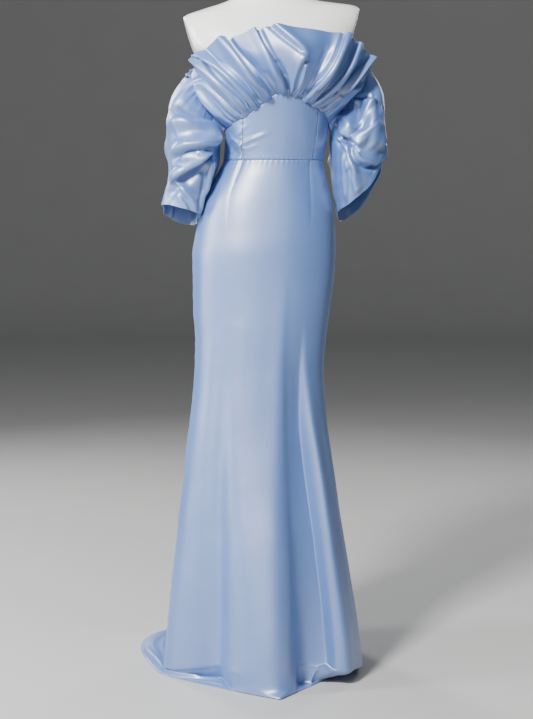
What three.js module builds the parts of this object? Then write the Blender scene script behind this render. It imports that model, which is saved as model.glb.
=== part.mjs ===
import * as THREE from "three";

// A mermaid evening dress in satin, worn by a limbless dress form on a stand.
// Millimetres, +Z up. The front faces -Y, and the origin is the middle of the stand's foot, on the floor.
// Angles round the body start at the front, 0, and grow towards +X, the right of the front view.

// Driving sizes
const clothWall = 1.6;
const seamGap = 0.3;
const formClearance = 1.5;
const waistHeight = 1120;
const princess = { left: 42, right: 45 };
const backPrincess = 135;
const sideAngle = 90;
const sectionPower = 2.2;
const hemStart = 90;
const leastFold = 18;
const dartAngle = { waist: 42, tip: 34 };
const dartLength = 145;
const dartDepth = 2.2;
const gatherDepth = 3;
const sleeveTurn = 146;
const sleeveCap = 0.24;
const sleeveSeam = 0.2;
const sleeveClearance = 3;
const zipTop = 1172;

const satin = { color: 0x9db8e0, roughness: 0.32, metalness: 0 };
const formWhite = { color: 0xf1eeea, roughness: 0.35, metalness: 0 };
const standSteel = { color: 0xc9c9cc, roughness: 0.3, metalness: 0.8 };
const zipPaint = { color: 0x8fabd6, roughness: 0.35, metalness: 0.4 };

// Tables: a row for each section, station or fold, under named columns

// The worn outline: z, the middle's x, half the width, and the depth in front and behind
const bodySections = table(["z", "middle", "half", "front", "back"], [
  [50, -26, 219, 209, 300],
  [114, -28, 211, 202, 272],
  [177, -29, 203, 193, 246],
  [240, -31, 194, 182, 221],
  [302, -31, 185, 170, 198],
  [365, -33, 177, 158, 177],
  [427, -33, 168, 146, 160],
  [489, -34, 160, 135, 146],
  [551, -34, 151, 126, 134],
  [613, -33, 145, 118, 125],
  [675, -32, 141, 112, 119],
  [736, -29, 143, 109, 117],
  [797, -27, 149, 108, 117],
  [858, -24, 153, 108, 119],
  [919, -22, 155, 108, 121],
  [975, -17, 150, 105, 114],
  [1027, -15, 141, 100, 102],
  [1079, -9, 122, 93, 88],
  [1120, -2, 108, 88, 80],
  [1157, 3, 110, 93, 84],
  [1198, 5, 112, 102, 90],
  [1240, 5, 116, 111, 95],
  [1262, 5, 119, 115, 97],
]);

// The form above the bodice
const bustSections = table(["z", "middle", "half", "front", "back", "power"], [
  [1240, 5, 112.9, 107.9, 91.9, 2.2],
  [1268, 4, 116, 114, 94, 2.2],
  [1295, 2, 122, 118, 97, 2.2],
  [1320, 0, 132, 114, 99, 2.3],
  [1340, -2, 152, 108, 100, 2.4],
  [1357, -3, 172, 101, 99, 2.4],
  [1380, -4, 187, 92, 96, 2.3],
  [1405, -5, 195, 81, 91, 2.2],
  [1425, -6, 197, 70, 83, 2],
  [1440, -6, 184, 61, 74, 1.8],
  [1450, -7, 146, 55, 66, 1.7],
  [1458, -8, 108, 52, 60, 1.8],
  [1467, -9, 80, 50, 56, 2],
  [1482, -9, 63, 50, 53, 2],
  [1512, -9, 56, 51, 51, 2],
  [1556, -9, 53, 51, 49, 2],
  [1562, -9, 49, 47, 45, 2],
]);

// The height of the seam under the ruffle
const archSeam = table(["angle", "z"], [
  [-180, 1186],
  [-140, 1188],
  [-100, 1187],
  [-78, 1189],
  [-58, 1198],
  [-38, 1211],
  [-18, 1233],
  [0, 1257],
  [13, 1252],
  [33, 1235],
  [61, 1217],
  [80, 1201],
  [96, 1194],
  [140, 1190],
  [180, 1186],
]);

// Soft flutes of the skirt: angle, half the width in degrees, how far out at the floor, and the top height
const flutes = table(["angle", "width", "out", "top"], [
  [-82, 11, 8, 470],
  [-45, 23, -88, 620],
  [4, 10, 26, 560],
  [24, 12, -54, 620],
  [50, 12, 12, 560],
  [78, 14, 4, 470],
  [106, 13, -24, 520],
  [130, 13, 14, 480],
  [154, 12, -26, 560],
  [180, 11, 10, 480],
  [-154, 12, -26, 560],
  [-128, 13, 12, 480],
  [-104, 13, -20, 520],
]);

// Where the skirt breaks above the floor: distances outwards from the wall at hemStart, and heights
const hemBreaks = table(["angle", "lipOut", "lipUp", "tuckOut", "tuckUp"], [
  [-180, 24, 34, 50, 12],
  [-162, 26, 32, 50, 12],
  [-144, 22, 30, 42, 12],
  [-126, 16, 28, 28, 12],
  [-112, 10, 22, 10, 10],
  [-100, 6, 18, -2, 9],
  [-88, 4, 16, -8, 8],
  [-74, 3, 22, -12, 8],
  [-58, 2, 34, -14, 9],
  [-40, 3, 42, -14, 10],
  [-24, 5, 46, -10, 12],
  [-12, 8, 46, 4, 14],
  [-4, 10, 44, 20, 15],
  [4, 12, 42, 28, 16],
  [13, 9, 43, 10, 14],
  [22, 4, 44, -10, 12],
  [30, 3, 42, -16, 11],
  [44, 2, 36, -20, 10],
  [60, 3, 28, -16, 9],
  [76, 6, 17, -9, 8],
  [90, 8, 13, -6, 8],
  [104, 8, 18, -2, 9],
  [120, 12, 24, 10, 11],
  [144, 18, 28, 30, 12],
  [162, 24, 32, 46, 12],
  [180, 24, 34, 50, 12],
]);

// The hem's edge on the floor, in plan
const hemPlan = table(["x", "y"], [
  [-35, 438],
  [-150, 412],
  [-228, 365],
  [-278, 295],
  [-298, 205],
  [-290, 105],
  [-266, 20],
  [-248, -31],
  [-190, -94],
  [-120, -156],
  [-78, -192],
  [-5, -246],
  [118, -84],
  [168, -34],
  [184, 20],
  [196, 110],
  [178, 220],
  [124, 335],
  [45, 408],
  [-35, 438],
]);

// The fan of the front ruffle: the angle of each ray's foot on the seam, its end on the free
// edge, and its bulge
const frontFan = table(["ray", "foot", "x", "y", "z", "bulge"], [
  [0, -82, -176, -34, 1290, 12],
  [1, -52, -180, -58, 1332, 20],
  [2, -30, -150, -96, 1353, 27],
  [3, -15, -111, -119, 1371, 32],
  [4, -4, -62, -131, 1382, 34],
  [5, 5, -10, -136, 1393, 34],
  [6, 14, 60, -133, 1390, 33],
  [7, 25, 112, -119, 1386, 31],
  [8, 34, 148, -101, 1380, 28],
  [9, 46, 184, -78, 1357, 24],
  [10, 60, 208, -54, 1336, 19],
  [11, 82, 200, -32, 1320, 12],
]);

// Its pleats, a row for each ridge and valley: the angle at the seam, the ray at
// the middle and at the edge, and the height at each
const frontPleats = table(["foot", "middle", "edge", "low", "mid", "high"], [
  [-82, 0, 0, 0, -3, -4],
  [-66, 0.38, 0.22, 3, 7, 5],
  [-50, 0.85, 0.5, -0.5, -7, -5],
  [-38, 1.72, 0.95, 4.5, 8, 6],
  [-30.5, 2.02, 1.13, -0.5, -4, -4],
  [-24, 2.3, 1.32, 4.5, 8, 7],
  [-17.5, 2.62, 1.68, -0.5, -10, -7],
  [-11, 3.2, 2.82, 5, 15, 12],
  [-4.5, 3.48, 3.08, -0.5, -12, -10],
  [1.5, 4.35, 4.25, 4.5, 10, 7],
  [7.5, 4.72, 4.5, -0.5, -9, 0],
  [13, 5.85, 5.05, 4.5, 9, 6],
  [18.5, 6.95, 7.05, -0.5, -12, -6],
  [24.5, 7.42, 8, 5, 14, 12],
  [30.5, 8, 8.35, -0.5, -5, -2],
  [36.5, 8.55, 8.75, 4.5, 9, 6],
  [43, 8.98, 9.3, -0.5, -8, -8],
  [50, 9.38, 9.8, 5, 13, 12],
  [58, 9.85, 10.25, -0.5, -10, -6],
  [68, 10.4, 10.65, 3, 5, 4],
  [82, 11, 11, 0, -2, -2],
]);

// The back ruffle's half, from the side to the middle; the other half is its mirror image
const backFan = table(["ray", "foot", "x", "y", "z", "bulge"], [
  [0, 98, 186, 58, 1306, 20],
  [1, 112, 180, 92, 1322, 22],
  [2, 128, 148, 112, 1334, 23],
  [3, 146, 98, 132, 1341, 26],
  [4, 164, 46, 141, 1344, 27],
  [5, 180, 0, 143, 1345, 27],
]);

const backPleats = table(["foot", "middle", "edge", "low", "mid", "high"], [
  [98, 0, 0, 0, -3, -4],
  [104.5, 0.4, 0.4, 3, 8, 7],
  [111.5, 0.9, 0.85, -0.5, -7, -6],
  [119, 1.3, 1.3, 4, 10, 9],
  [126.5, 1.85, 1.85, -0.5, -9, -8],
  [134, 2.25, 2.35, 4, 11, 9],
  [142, 2.8, 2.8, -0.5, -8, -8],
  [150, 3.25, 3.2, 4.5, 10, 9],
  [157.5, 3.65, 3.75, -0.5, -9, -7],
  [165, 4.15, 4.25, 4, 9, 8],
  [172.5, 4.6, 4.6, -0.5, -6, -6],
  [180, 5, 5, 0, 0, 0],
]);

// The sleeves, rings from the top to the hem: how far out, centre y and z, half sizes, lift of the
// outer side, rake of the front, and sag of the front and back
const leftSleeve = table(["t", "out", "y", "z", "halfOut", "halfDeep", "lift", "rake", "sag"], [
  [0.24, 172, 2, 1186, 56, 78, 38, 4, 0],
  [0.34, 175, 4, 1156, 57, 88, 31, 6, 0],
  [0.45, 176, 2, 1130, 55, 90, 24, 8, 0],
  [0.6, 179, 2, 1096, 50, 84, 15, 10, 0],
  [0.75, 184, 2, 1062, 46, 74, 10, 12, 1],
  [0.9, 192, 2, 1029, 43, 68, 10, 14, 2],
  [1, 198, 2, 1004, 41, 66, 14, 16, 3],
]);

const rightSleeve = table(["t", "out", "y", "z", "halfOut", "halfDeep", "lift", "rake", "sag"], [
  [0.24, 180, 2, 1200, 58, 78, 48, 8, 0],
  [0.34, 182, 4, 1172, 58, 88, 45, 13, 0],
  [0.45, 182, 2, 1148, 57, 92, 44, 18, 2],
  [0.6, 183, 2, 1113, 56, 90, 46, 22, 5],
  [0.75, 185, 2, 1086, 54, 84, 50, 24, 9],
  [0.9, 187, 2, 1063, 52, 76, 56, 24, 14],
  [1, 189, 2, 1050, 51, 72, 60, 23, 18],
]);

// Folds laid over a sleeve, as strokes: from one angle and share of the length to another,
// how far out and how wide. The angle is 0 at the body, 90 in front, 180 outside and 270 behind.
const leftFolds = table(["fromAngle", "fromT", "toAngle", "toT", "out", "width"], [
  [20, 0.05, 150, 0.3, 9, 17],
  [24, 0.14, 110, 0.52, 11, 16],
  [32, 0.27, 105, 0.62, -9, 15],
  [66, 0.44, 128, 0.76, 10, 15],
  [72, 0.6, 126, 0.85, -9, 15],
  [108, 0.84, 80, 1, 8, 18],
  [150, 0.84, 158, 1, 8, 17],
  [46, 0.5, 40, 0.95, 6, 13],
  [330, 0.25, 230, 0.3, -7, 18],
  [325, 0.36, 215, 0.46, 11, 20],
  [320, 0.54, 220, 0.66, -8, 18],
  [290, 0.66, 285, 1, 8, 20],
  [225, 0.7, 215, 1, 8, 20],
]);

const rightFolds = table(["fromAngle", "fromT", "toAngle", "toT", "out", "width"], [
  [70, 0.07, 130, 0.13, -6, 14],
  [24, 0.05, 76, 0.27, 9, 14],
  [86, 0.17, 82, 0.31, -9, 13],
  [94, 0.38, 112, 0.2, 8, 13],
  [112, 0.32, 132, 0.62, 9, 18],
  [60, 0.36, 118, 0.86, -8, 14],
  [50, 0.36, 78, 0.92, 9, 14],
  [44, 0.3, 38, 0.95, -5, 12],
  [150, 0.72, 155, 1, 8, 18],
  [330, 0.25, 230, 0.3, -7, 18],
  [325, 0.36, 215, 0.46, 11, 20],
  [320, 0.54, 220, 0.66, -8, 18],
  [290, 0.66, 285, 1, 8, 20],
  [225, 0.7, 215, 1, 8, 20],
]);

// Maths shared by every piece

function table(columns, rows) {
  return rows.map((row) => Object.fromEntries(columns.map((name, i) => [name, row[i]])));
}

function radians(degrees) {
  return (degrees * Math.PI) / 180;
}

function mix(a, b, share) {
  return a + (b - a) * share;
}

function clamp(value, low, high) {
  return Math.min(high, Math.max(low, value));
}

function ease(share) {
  const s = clamp(share, 0, 1);
  return s * s * (3 - 2 * s);
}

// A smooth curve through one column of a table, with no overshoot
function track(rows, key, column) {
  const xs = rows.map((row) => row[key]);
  const ys = rows.map((row) => row[column]);
  const rise = xs.slice(1).map((x, i) => (ys[i + 1] - ys[i]) / (x - xs[i]));
  const slopes = xs.map((_, i) => {
    const before = rise[Math.max(0, i - 1)];
    const after = rise[Math.min(rise.length - 1, i)];
    return before * after <= 0 ? 0 : (2 * before * after) / (before + after);
  });
  return (x) => {
    const i = clamp(xs.findLastIndex((knot) => knot <= x), 0, xs.length - 2);
    const span = xs[i + 1] - xs[i];
    const s = clamp((x - xs[i]) / span, 0, 1);
    const c = 1 - s;
    const start = ys[i] + s * (slopes[i] * span + 2 * ys[i]);
    const end = ys[i + 1] + c * (2 * ys[i + 1] - slopes[i + 1] * span);
    return c * c * start + s * s * end;
  };
}

// All of a table's columns as curves over its key column
function tracks(rows, key) {
  const columns = Object.keys(rows[0]).filter((name) => name !== key);
  return Object.fromEntries(columns.map((name) => [name, track(rows, key, name)]));
}

function power(value, exponent) {
  return Math.sign(value) * Math.abs(value) ** exponent;
}

// A point on a rounded section, at an angle round it
function sectionPoint(angle, section, grow, z) {
  const s = Math.sin(radians(angle));
  const c = Math.cos(radians(angle));
  const depth = (c > 0 ? section.front : section.back) + grow;
  const exponent = 2 / section.power;
  return new THREE.Vector3(
    section.middle + (section.half + grow) * power(s, exponent),
    -depth * power(c, exponent),
    z,
  );
}

function sectionAt(curves, z) {
  const section = { power: sectionPower };
  for (const [name, curve] of Object.entries(curves)) section[name] = curve(z);
  return section;
}

function spread(count, from, to) {
  return Array.from({ length: count }, (_, i) => mix(from, to, i / (count - 1)));
}

const body = tracks(bodySections, "z");
const bust = tracks(bustSections, "z");
const arch = track(archSeam, "angle", "z");
const breaks = tracks(hemBreaks, "angle");

// A point of the dress's outer face below the ruffle
function bodyPoint(angle, z, grow = 0) {
  return sectionPoint(angle, sectionAt(body, z), grow, z);
}

// How far the skirt's flutes stand out at an angle and a height
function fluteLift(angle, z) {
  return flutes.reduce((sum, flute) => {
    const apart = ((angle - flute.angle + 540) % 360) - 180;
    const across = Math.exp(-((apart / flute.width) ** 2));
    return sum + flute.out * across * clamp((flute.top - z) / flute.top, 0, 1) ** 1.6;
  }, 0);
}

// The direction of a line through three points, each side of the middle one counting the same
function through(before, here, after) {
  return here.clone().sub(before).normalize().add(after.clone().sub(here).normalize());
}

// A closed wall of cloth: a grid of outer points, the same points moved in by the wall, and rims.
// u runs anticlockwise seen from above, and v runs upwards.
function clothGeometry(point, us, vs, { closed = false, onFloor = false, thick = clothWall } = {}) {
  const nu = us.length;
  const nv = vs.length;
  const outer = vs.map((v) => us.map((u) => point(u, v)));
  const at = (i, j) => outer[clamp(j, 0, nv - 1)][closed ? (i + nu) % nu : clamp(i, 0, nu - 1)];
  const inner = outer.map((row, j) =>
    row.map((p, i) => {
      const along = through(at(i - 1, j), p, at(i + 1, j));
      const up = through(at(i, j - 1), p, at(i, j + 1));
      const moved = p.clone().addScaledVector(along.cross(up).normalize(), -thick);
      if (onFloor) moved.z = Math.max(moved.z, 0);
      return moved;
    }),
  );
  const positions = [outer, inner].flat(2).flatMap((p) => [p.x, p.y, p.z]);
  const out = (i, j) => j * nu + (i % nu);
  const into = (i, j) => nu * nv + out(i, j);
  const faces = [];
  const quad = (a, b, c, d) => faces.push(a, b, c, a, c, d);
  const columns = closed ? nu : nu - 1;
  for (let i = 0; i < columns; i++) {
    for (let j = 0; j < nv - 1; j++) {
      quad(out(i, j), out(i + 1, j), out(i + 1, j + 1), out(i, j + 1));
      quad(into(i, j), into(i, j + 1), into(i + 1, j + 1), into(i + 1, j));
    }
    quad(out(i + 1, 0), out(i, 0), into(i, 0), into(i + 1, 0));
    quad(out(i, nv - 1), out(i + 1, nv - 1), into(i + 1, nv - 1), into(i, nv - 1));
  }
  for (let j = 0; !closed && j < nv - 1; j++) {
    quad(out(0, j), out(0, j + 1), into(0, j + 1), into(0, j));
    quad(out(nu - 1, j + 1), out(nu - 1, j), into(nu - 1, j), into(nu - 1, j + 1));
  }
  return solidGeometry(positions, faces);
}

function solidGeometry(positions, faces) {
  const geometry = new THREE.BufferGeometry();
  geometry.setAttribute("position", new THREE.Float32BufferAttribute(positions, 3));
  geometry.setIndex(faces);
  geometry.computeVertexNormals();
  return geometry;
}

const dress = new THREE.Group();

function add(name, geometry, look) {
  const mesh = new THREE.Mesh(geometry, new THREE.MeshStandardMaterial(look));
  mesh.name = name;
  dress.add(mesh);
  return mesh;
}

// Skirt

// Two darts run down from the waist, as shallow grooves
function dartDip(angle, z) {
  const down = clamp((waistHeight - z) / dartLength, 0, 1);
  const apart = (Math.abs(angle) - mix(dartAngle.waist, dartAngle.tip, down)) / 3.4;
  return -dartDepth * (1 - down) * Math.exp(-(apart ** 2));
}

function skirtWall(angle, z) {
  return bodyPoint(angle, z, fluteLift(angle, z) + dartDip(angle, z));
}

// How far the hem's edge lies from the middle, in a direction
function hemReach(middle, outward) {
  const spans = hemPlan.slice(1).map((to, i) => [hemPlan[i], to]);
  const reaches = spans.map(([from, to]) => {
    const run = { x: to.x - from.x, y: to.y - from.y };
    const turn = outward.x * run.y - outward.y * run.x;
    const start = { x: from.x - middle, y: from.y };
    const reach = (start.x * run.y - start.y * run.x) / turn;
    const share = (start.x * outward.y - start.y * outward.x) / turn;
    return share >= 0 && share <= 1 && reach > 0 ? reach : 0;
  });
  return Math.max(...reaches);
}

// Below hemStart the skirt folds on the floor. v is 0 at the hem, 1 where it lies, 2 in the tuck,
// 3 under the lip, 4 at the lip, 5 at hemStart, and above 5 the height itself.
function skirtPoint(angle, v) {
  if (v >= hemStart) return skirtWall(angle, v);
  const top = skirtWall(angle, hemStart);
  const middle = body.middle(hemStart);
  const outward = new THREE.Vector2(top.x - middle, top.y);
  const reach = outward.length();
  outward.divideScalar(reach);
  const b = Object.fromEntries(Object.entries(breaks).map(([name, curve]) => [name, curve(angle)]));
  const hemOut = hemReach(middle, outward) - reach;
  const fold = Math.max(0, hemOut - b.tuckOut);
  const tuckOut = hemOut - fold * ease(fold / leastFold);
  const profile = table(["v", "out", "up"], [
    [0, hemOut, clothWall],
    [1, mix(tuckOut, hemOut, 0.5), clothWall + 0.5],
    [2, tuckOut, b.tuckUp * 0.5 + 1],
    [3, mix(tuckOut, b.lipOut, 0.62), mix(b.tuckUp, b.lipUp, 0.55)],
    [4, b.lipOut, b.lipUp],
    [5, 0, hemStart],
  ]);
  const out = track(profile, "v", "out")(v);
  const up = track(profile, "v", "up")(v);
  return new THREE.Vector3(
    middle + outward.x * (reach + out),
    outward.y * (reach + out),
    up,
  );
}

const wallHeights = [
  hemStart, 150, 220, 300, 390, 480, 570, 650, 725, 800, 860, 920, 970, 1020, 1070,
  waistHeight - seamGap,
];
const skirtRows = [0, 0.8, 1.5, 2, 2.5, 3, 3.5, 4, 4.5, ...wallHeights];

// Half a seam's gap, as an angle round the body
function seamInset(reach) {
  return ((seamGap / 2) * 180) / (Math.PI * reach);
}

function skirtPanel(name, from, to, count) {
  const inset = seamInset(110);
  const angles = spread(count, from + inset, to - inset);
  add(name, clothGeometry(skirtPoint, angles, skirtRows, { onFloor: true }), satin);
}

skirtPanel("skirt_front", -sideAngle, sideAngle, 29);
skirtPanel("skirt_back_right", sideAngle, 180, 13);
skirtPanel("skirt_back_left", -180, -sideAngle, 13);

// Bodice

function bodicePanel(name, from, to, columns) {
  const inset = seamInset(70);
  const low = waistHeight + seamGap;
  const point = (angle, share) => bodyPoint(angle, mix(low, arch(angle) - 3 * seamGap, share));
  const angles = spread(columns, from + inset, to - inset);
  add(name, clothGeometry(point, angles, spread(5, 0, 1)), satin);
}

bodicePanel("bodice_front", -princess.left, princess.right, 17);
bodicePanel("bodice_side_front_right", princess.right, sideAngle, 8);
bodicePanel("bodice_side_back_right", sideAngle, backPrincess, 7);
bodicePanel("bodice_back_right", backPrincess, 180, 7);
bodicePanel("bodice_side_front_left", -sideAngle, -princess.left, 8);
bodicePanel("bodice_side_back_left", -backPrincess, -sideAngle, 7);
bodicePanel("bodice_back_left", -180, -backPrincess, 7);

// Ruffle

// The unpleated fan: a ray from the seam to the free edge, bulged outwards
function fanPoint(fan, side, ray, v) {
  const foot = side * fan.foot(ray);
  const start = bodyPoint(foot, arch(foot) + 1.5 * seamGap);
  const end = new THREE.Vector3(side * fan.x(ray), fan.y(ray), fan.z(ray));
  const outward = new THREE.Vector3(Math.sin(radians(foot)), -Math.cos(radians(foot)), 0);
  const swell = Math.sin(Math.PI * v ** 0.8);
  return start.lerp(end, v).addScaledVector(outward, fan.bulge(ray) * swell);
}

// Where a pleat's line lies on the fan at v, as a ray
function pleatRay(ruffle, pleat, v) {
  const [atFoot, atMiddle, atEdge] = [(1 - v) * (1 - 2 * v), 4 * v * (1 - v), v * (2 * v - 1)];
  return ruffle.rayOf(pleat.foot) * atFoot + pleat.middle * atMiddle + pleat.edge * atEdge;
}

function pleatHeight(pleat, v) {
  return v < 0.5
    ? mix(pleat.low, pleat.mid, ease(2 * v))
    : mix(pleat.mid, pleat.high, ease(2 * v - 1));
}

// A ruffle's point: u counts the pleats, whole at each ridge and valley, so the grid follows them
function rufflePoint(ruffle, side, u, v) {
  const i = clamp(Math.floor(u), 0, ruffle.pleats.length - 2);
  const [from, to] = [ruffle.pleats[i], ruffle.pleats[i + 1]];
  const share = u - i;
  const ray = mix(pleatRay(ruffle, from, v), pleatRay(ruffle, to, v), share);
  const height = mix(pleatHeight(from, v), pleatHeight(to, v), ease(share));
  const pucker = gatherDepth * Math.max(0, 1 - v / 0.35) * (0.5 - 0.5 * Math.cos(4 * Math.PI * u));
  const step = 0.02;
  const [low, high] = [Math.max(0, v - step), Math.min(1, v + step)];
  const at = (r, w) => fanPoint(ruffle.fan, side, r, w);
  const along = at(ray + step, v).sub(at(ray - step, v));
  const up = at(ray, high).sub(at(ray, low));
  const normal = along.cross(up).normalize().multiplyScalar(side);
  return at(ray, v).addScaledVector(normal, height + pucker);
}

function ruffleGeometry(ruffle, side, perPleat) {
  const last = ruffle.pleats.length - 1;
  const inset = 0.04;
  const us = spread(last * perPleat + 1, 0, last);
  us[0] = inset;
  us[us.length - 1] = last - inset;
  if (side < 0) us.reverse();
  return clothGeometry((u, v) => rufflePoint(ruffle, side, u, v), us, ruffleRows);
}

const ruffleRows = [0, 0.1, 0.25, 0.43, 0.62, 0.81, 1];
function ruffleFrom(fan, pleats) {
  return { fan: tracks(fan, "ray"), rayOf: track(fan, "foot", "ray"), pleats };
}

const front = ruffleFrom(frontFan, frontPleats);
const back = ruffleFrom(backFan, backPleats);

add("ruffle_front", ruffleGeometry(front, 1, 4), satin);
add("ruffle_back_right", ruffleGeometry(back, 1, 3), satin);
add("ruffle_back_left", ruffleGeometry(back, -1, 3), satin);

// Sleeves

// The sleeve's top edge: up the front ruffle's end, over the open shoulder, and down the back ruffle's end
function sleeveTop(side, angle) {
  const away = new THREE.Vector3(side * sleeveSeam, 0, -sleeveSeam);
  const last = front.pleats.length - 1;
  const frontEnd = (v) => rufflePoint(front, 1, side > 0 ? last : 0, v);
  const backEnd = (v) => rufflePoint(back, side, 0, v);
  if (angle < sleeveTurn) return frontEnd(angle / sleeveTurn).add(away);
  if (angle > 360 - sleeveTurn) return backEnd((360 - angle) / sleeveTurn).add(away);
  const share = (angle - sleeveTurn) / (360 - 2 * sleeveTurn);
  const over = frontEnd(1).lerp(backEnd(1), share);
  over.x += side * 14 * Math.sin(Math.PI * share);
  return over.add(away);
}

function strokeLift(strokes, angle, t) {
  const girth = 1.2;
  const length = 260;
  return strokes.reduce((sum, s) => {
    const ax = (angle - s.fromAngle) * girth;
    const ay = (t - s.fromT) * length;
    const bx = (s.toAngle - s.fromAngle) * girth;
    const by = (s.toT - s.fromT) * length;
    const along = clamp((ax * bx + ay * by) / (bx * bx + by * by), 0, 1);
    const far = Math.hypot(ax - along * bx, ay - along * by);
    return sum + s.out * Math.exp(-((far / s.width) ** 2));
  }, 0);
}

function sleeveRing(rings, folds, side, turn, t) {
  const c = Math.cos(radians(turn));
  const s = Math.sin(radians(turn));
  const lift = strokeLift(folds, turn, t);
  return new THREE.Vector3(
    side * (rings.out(t) - (rings.halfOut(t) + lift) * power(c, 0.86)),
    rings.y(t) - (rings.halfDeep(t) + lift) * power(s, 0.86),
    rings.z(t) - rings.lift(t) * c + rings.rake(t) * s + rings.sag(t) * (c * c - s * s),
  );
}

// Above sleeveCap the cloth runs from the top edge to the first full ring, swelling as it goes
function sleevePoint(rings, folds, side, angle, t) {
  const turn = ((angle % 360) + 360) % 360;
  const ring = sleeveRing(rings, folds, side, turn, Math.max(t, sleeveCap));
  const down = clamp(t / sleeveCap, 0, 1);
  const top = sleeveTop(side, turn);
  const outwards = side * (ring.x - top.x) > 0;
  const swell = outwards ? down * (2 - down) : down * down;
  const [x, y, z] = [mix(top.x, ring.x, swell), mix(top.y, ring.y, down), mix(top.z, ring.z, down)];
  return clearOfBody(new THREE.Vector3(x, y, z), sleeveClearance * down);
}

// Cloth beside the body lies on it, a little clear
function clearOfBody(p, clearance) {
  const section = sectionAt(body, p.z);
  const depth = (p.y < 0 ? section.front : section.back) + clearance;
  const half = section.half + clearance;
  const x = Math.abs(p.x - section.middle) / half;
  const y = Math.abs(p.y) / depth;
  const inside = (x ** section.power + y ** section.power) ** (1 / section.power);
  if (inside >= 1 || p.z > bodySections.at(-1).z) return p;
  return p.set(section.middle + (p.x - section.middle) / inside, p.y / inside, p.z);
}

for (const [name, rows, folds, side] of [
  ["sleeve_right", rightSleeve, rightFolds, 1],
  ["sleeve_left", leftSleeve, leftFolds, -1],
]) {
  const rings = tracks(rows, "t");
  const angles = spread(37, 0, 360).slice(0, -1);
  // Seen from above the front comes before the outside on the left, and after it on the right
  if (side > 0) angles.reverse();
  const shares = [1, 0.91, 0.82, 0.73, 0.64, 0.55, 0.46, 0.37, 0.28, 0.2, 0.12, 0.05, 0];
  const point = (angle, t) => sleevePoint(rings, folds, side, angle, t);
  add(name, clothGeometry(point, angles.reverse(), shares, { closed: true }), satin);
}

// Zip: the slider at the top of the centre back seam, and its pull tab, hung from the slider's bridge

// Distances from the tab's hinge: u is outwards from the back, and v is upwards
const slider = {
  width: 4.4, base: -3.1, face: -1.9, up: 4.5, down: -8,
  loopOut: 1.9, loopHalf: 2, holeOut: 0.95, holeHalf: 1.15,
};
const tab = {
  thick: 1, barHalf: 0.6, holeHalf: 2.8, holeDown: 3.6,
  topHalf: 4.4, taperDown: 5, tailHalf: 2.4, length: 20,
};

function outline(points, holes = []) {
  const shape = new THREE.Shape(points.map(([x, y]) => new THREE.Vector2(x, y)));
  shape.holes = holes.map((hole) => new THREE.Path(hole.map(([x, y]) => new THREE.Vector2(x, y))));
  return shape;
}

function plate(shape, thick) {
  const flat = new THREE.ExtrudeGeometry(shape, { depth: thick, bevelEnabled: false });
  return flat.translate(0, 0, -thick / 2);
}

function zipPieces() {
  const s = slider;
  const side = outline(
    [
      [s.base, s.down + 0.6], [s.base + 0.6, s.down], [s.face, s.down + 0.8], [s.face, -s.loopHalf],
      [s.loopOut - 0.6, -s.loopHalf], [s.loopOut, -s.loopHalf + 0.6],
      [s.loopOut, s.loopHalf - 0.6], [s.loopOut - 0.6, s.loopHalf],
      [s.face, s.loopHalf], [s.face, s.up - 0.6], [s.face - 0.6, s.up], [s.base, s.up],
    ],
    [[
      [-s.holeOut, -s.holeHalf], [-s.holeOut, s.holeHalf],
      [s.holeOut, s.holeHalf], [s.holeOut, -s.holeHalf],
    ]],
  );
  // The side's plane turns to stand upright: its first axis points out of the back, +Y
  const sliderGeometry = plate(side, s.width).rotateX(Math.PI / 2).rotateZ(Math.PI / 2);
  const t = tab;
  const low = -t.length + t.tailHalf;
  const tail = spread(7, -180, 0).map((turn) => [
    t.tailHalf * Math.cos(radians(turn)), low + t.tailHalf * Math.sin(radians(turn)),
  ]);
  const face = outline(
    [
      [-t.topHalf, t.barHalf - 0.4], [-t.topHalf, -t.taperDown], ...tail,
      [t.topHalf, -t.taperDown], [t.topHalf, t.barHalf - 0.4], [t.topHalf - 0.4, t.barHalf],
      [-t.topHalf + 0.4, t.barHalf],
    ],
    [[
      [-t.holeHalf, -t.holeDown], [-t.holeHalf, -t.barHalf],
      [t.holeHalf, -t.barHalf], [t.holeHalf, -t.holeDown],
    ]],
  );
  const tabGeometry = plate(face, t.thick).rotateX(Math.PI / 2);
  return [sliderGeometry, tabGeometry];
}

const zipHinge = bodyPoint(180, zipTop);
const zipSlope = Math.atan2(bodyPoint(180, zipTop + 5).y - bodyPoint(180, zipTop - 5).y, 10);
zipHinge.y += seamGap + 0.2 - slider.base;
const [sliderGeometry, tabGeometry] = zipPieces();
const zipSlider = add("zip_slider", sliderGeometry, zipPaint);
zipSlider.position.copy(zipHinge);
zipSlider.rotation.x = -zipSlope;
add("zip_pull", tabGeometry, zipPaint).position.copy(zipHinge);

// Dress form

const formBottom = 792;
const shoulderTilt = 0.06;
const capReach = { z: 1339, x: 160, slope: 0.3 };

function torsoRing(z) {
  const inside = -(clothWall + formClearance);
  const reach = capReach.x + capReach.slope * (z - capReach.z);
  return spread(33, 0, 360).slice(0, -1).map((angle) => {
    const p = z <= 1240
      ? bodyPoint(angle, z, inside)
      : sectionPoint(angle, sectionAt(bust, z), 0, z);
    if (z > 1300) p.x = clamp(p.x, -reach - 6, reach - 6);
    p.z += shoulderTilt * p.x * ease((z - 1300) / 100) * ease((1480 - z) / 40);
    return p;
  });
}

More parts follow.
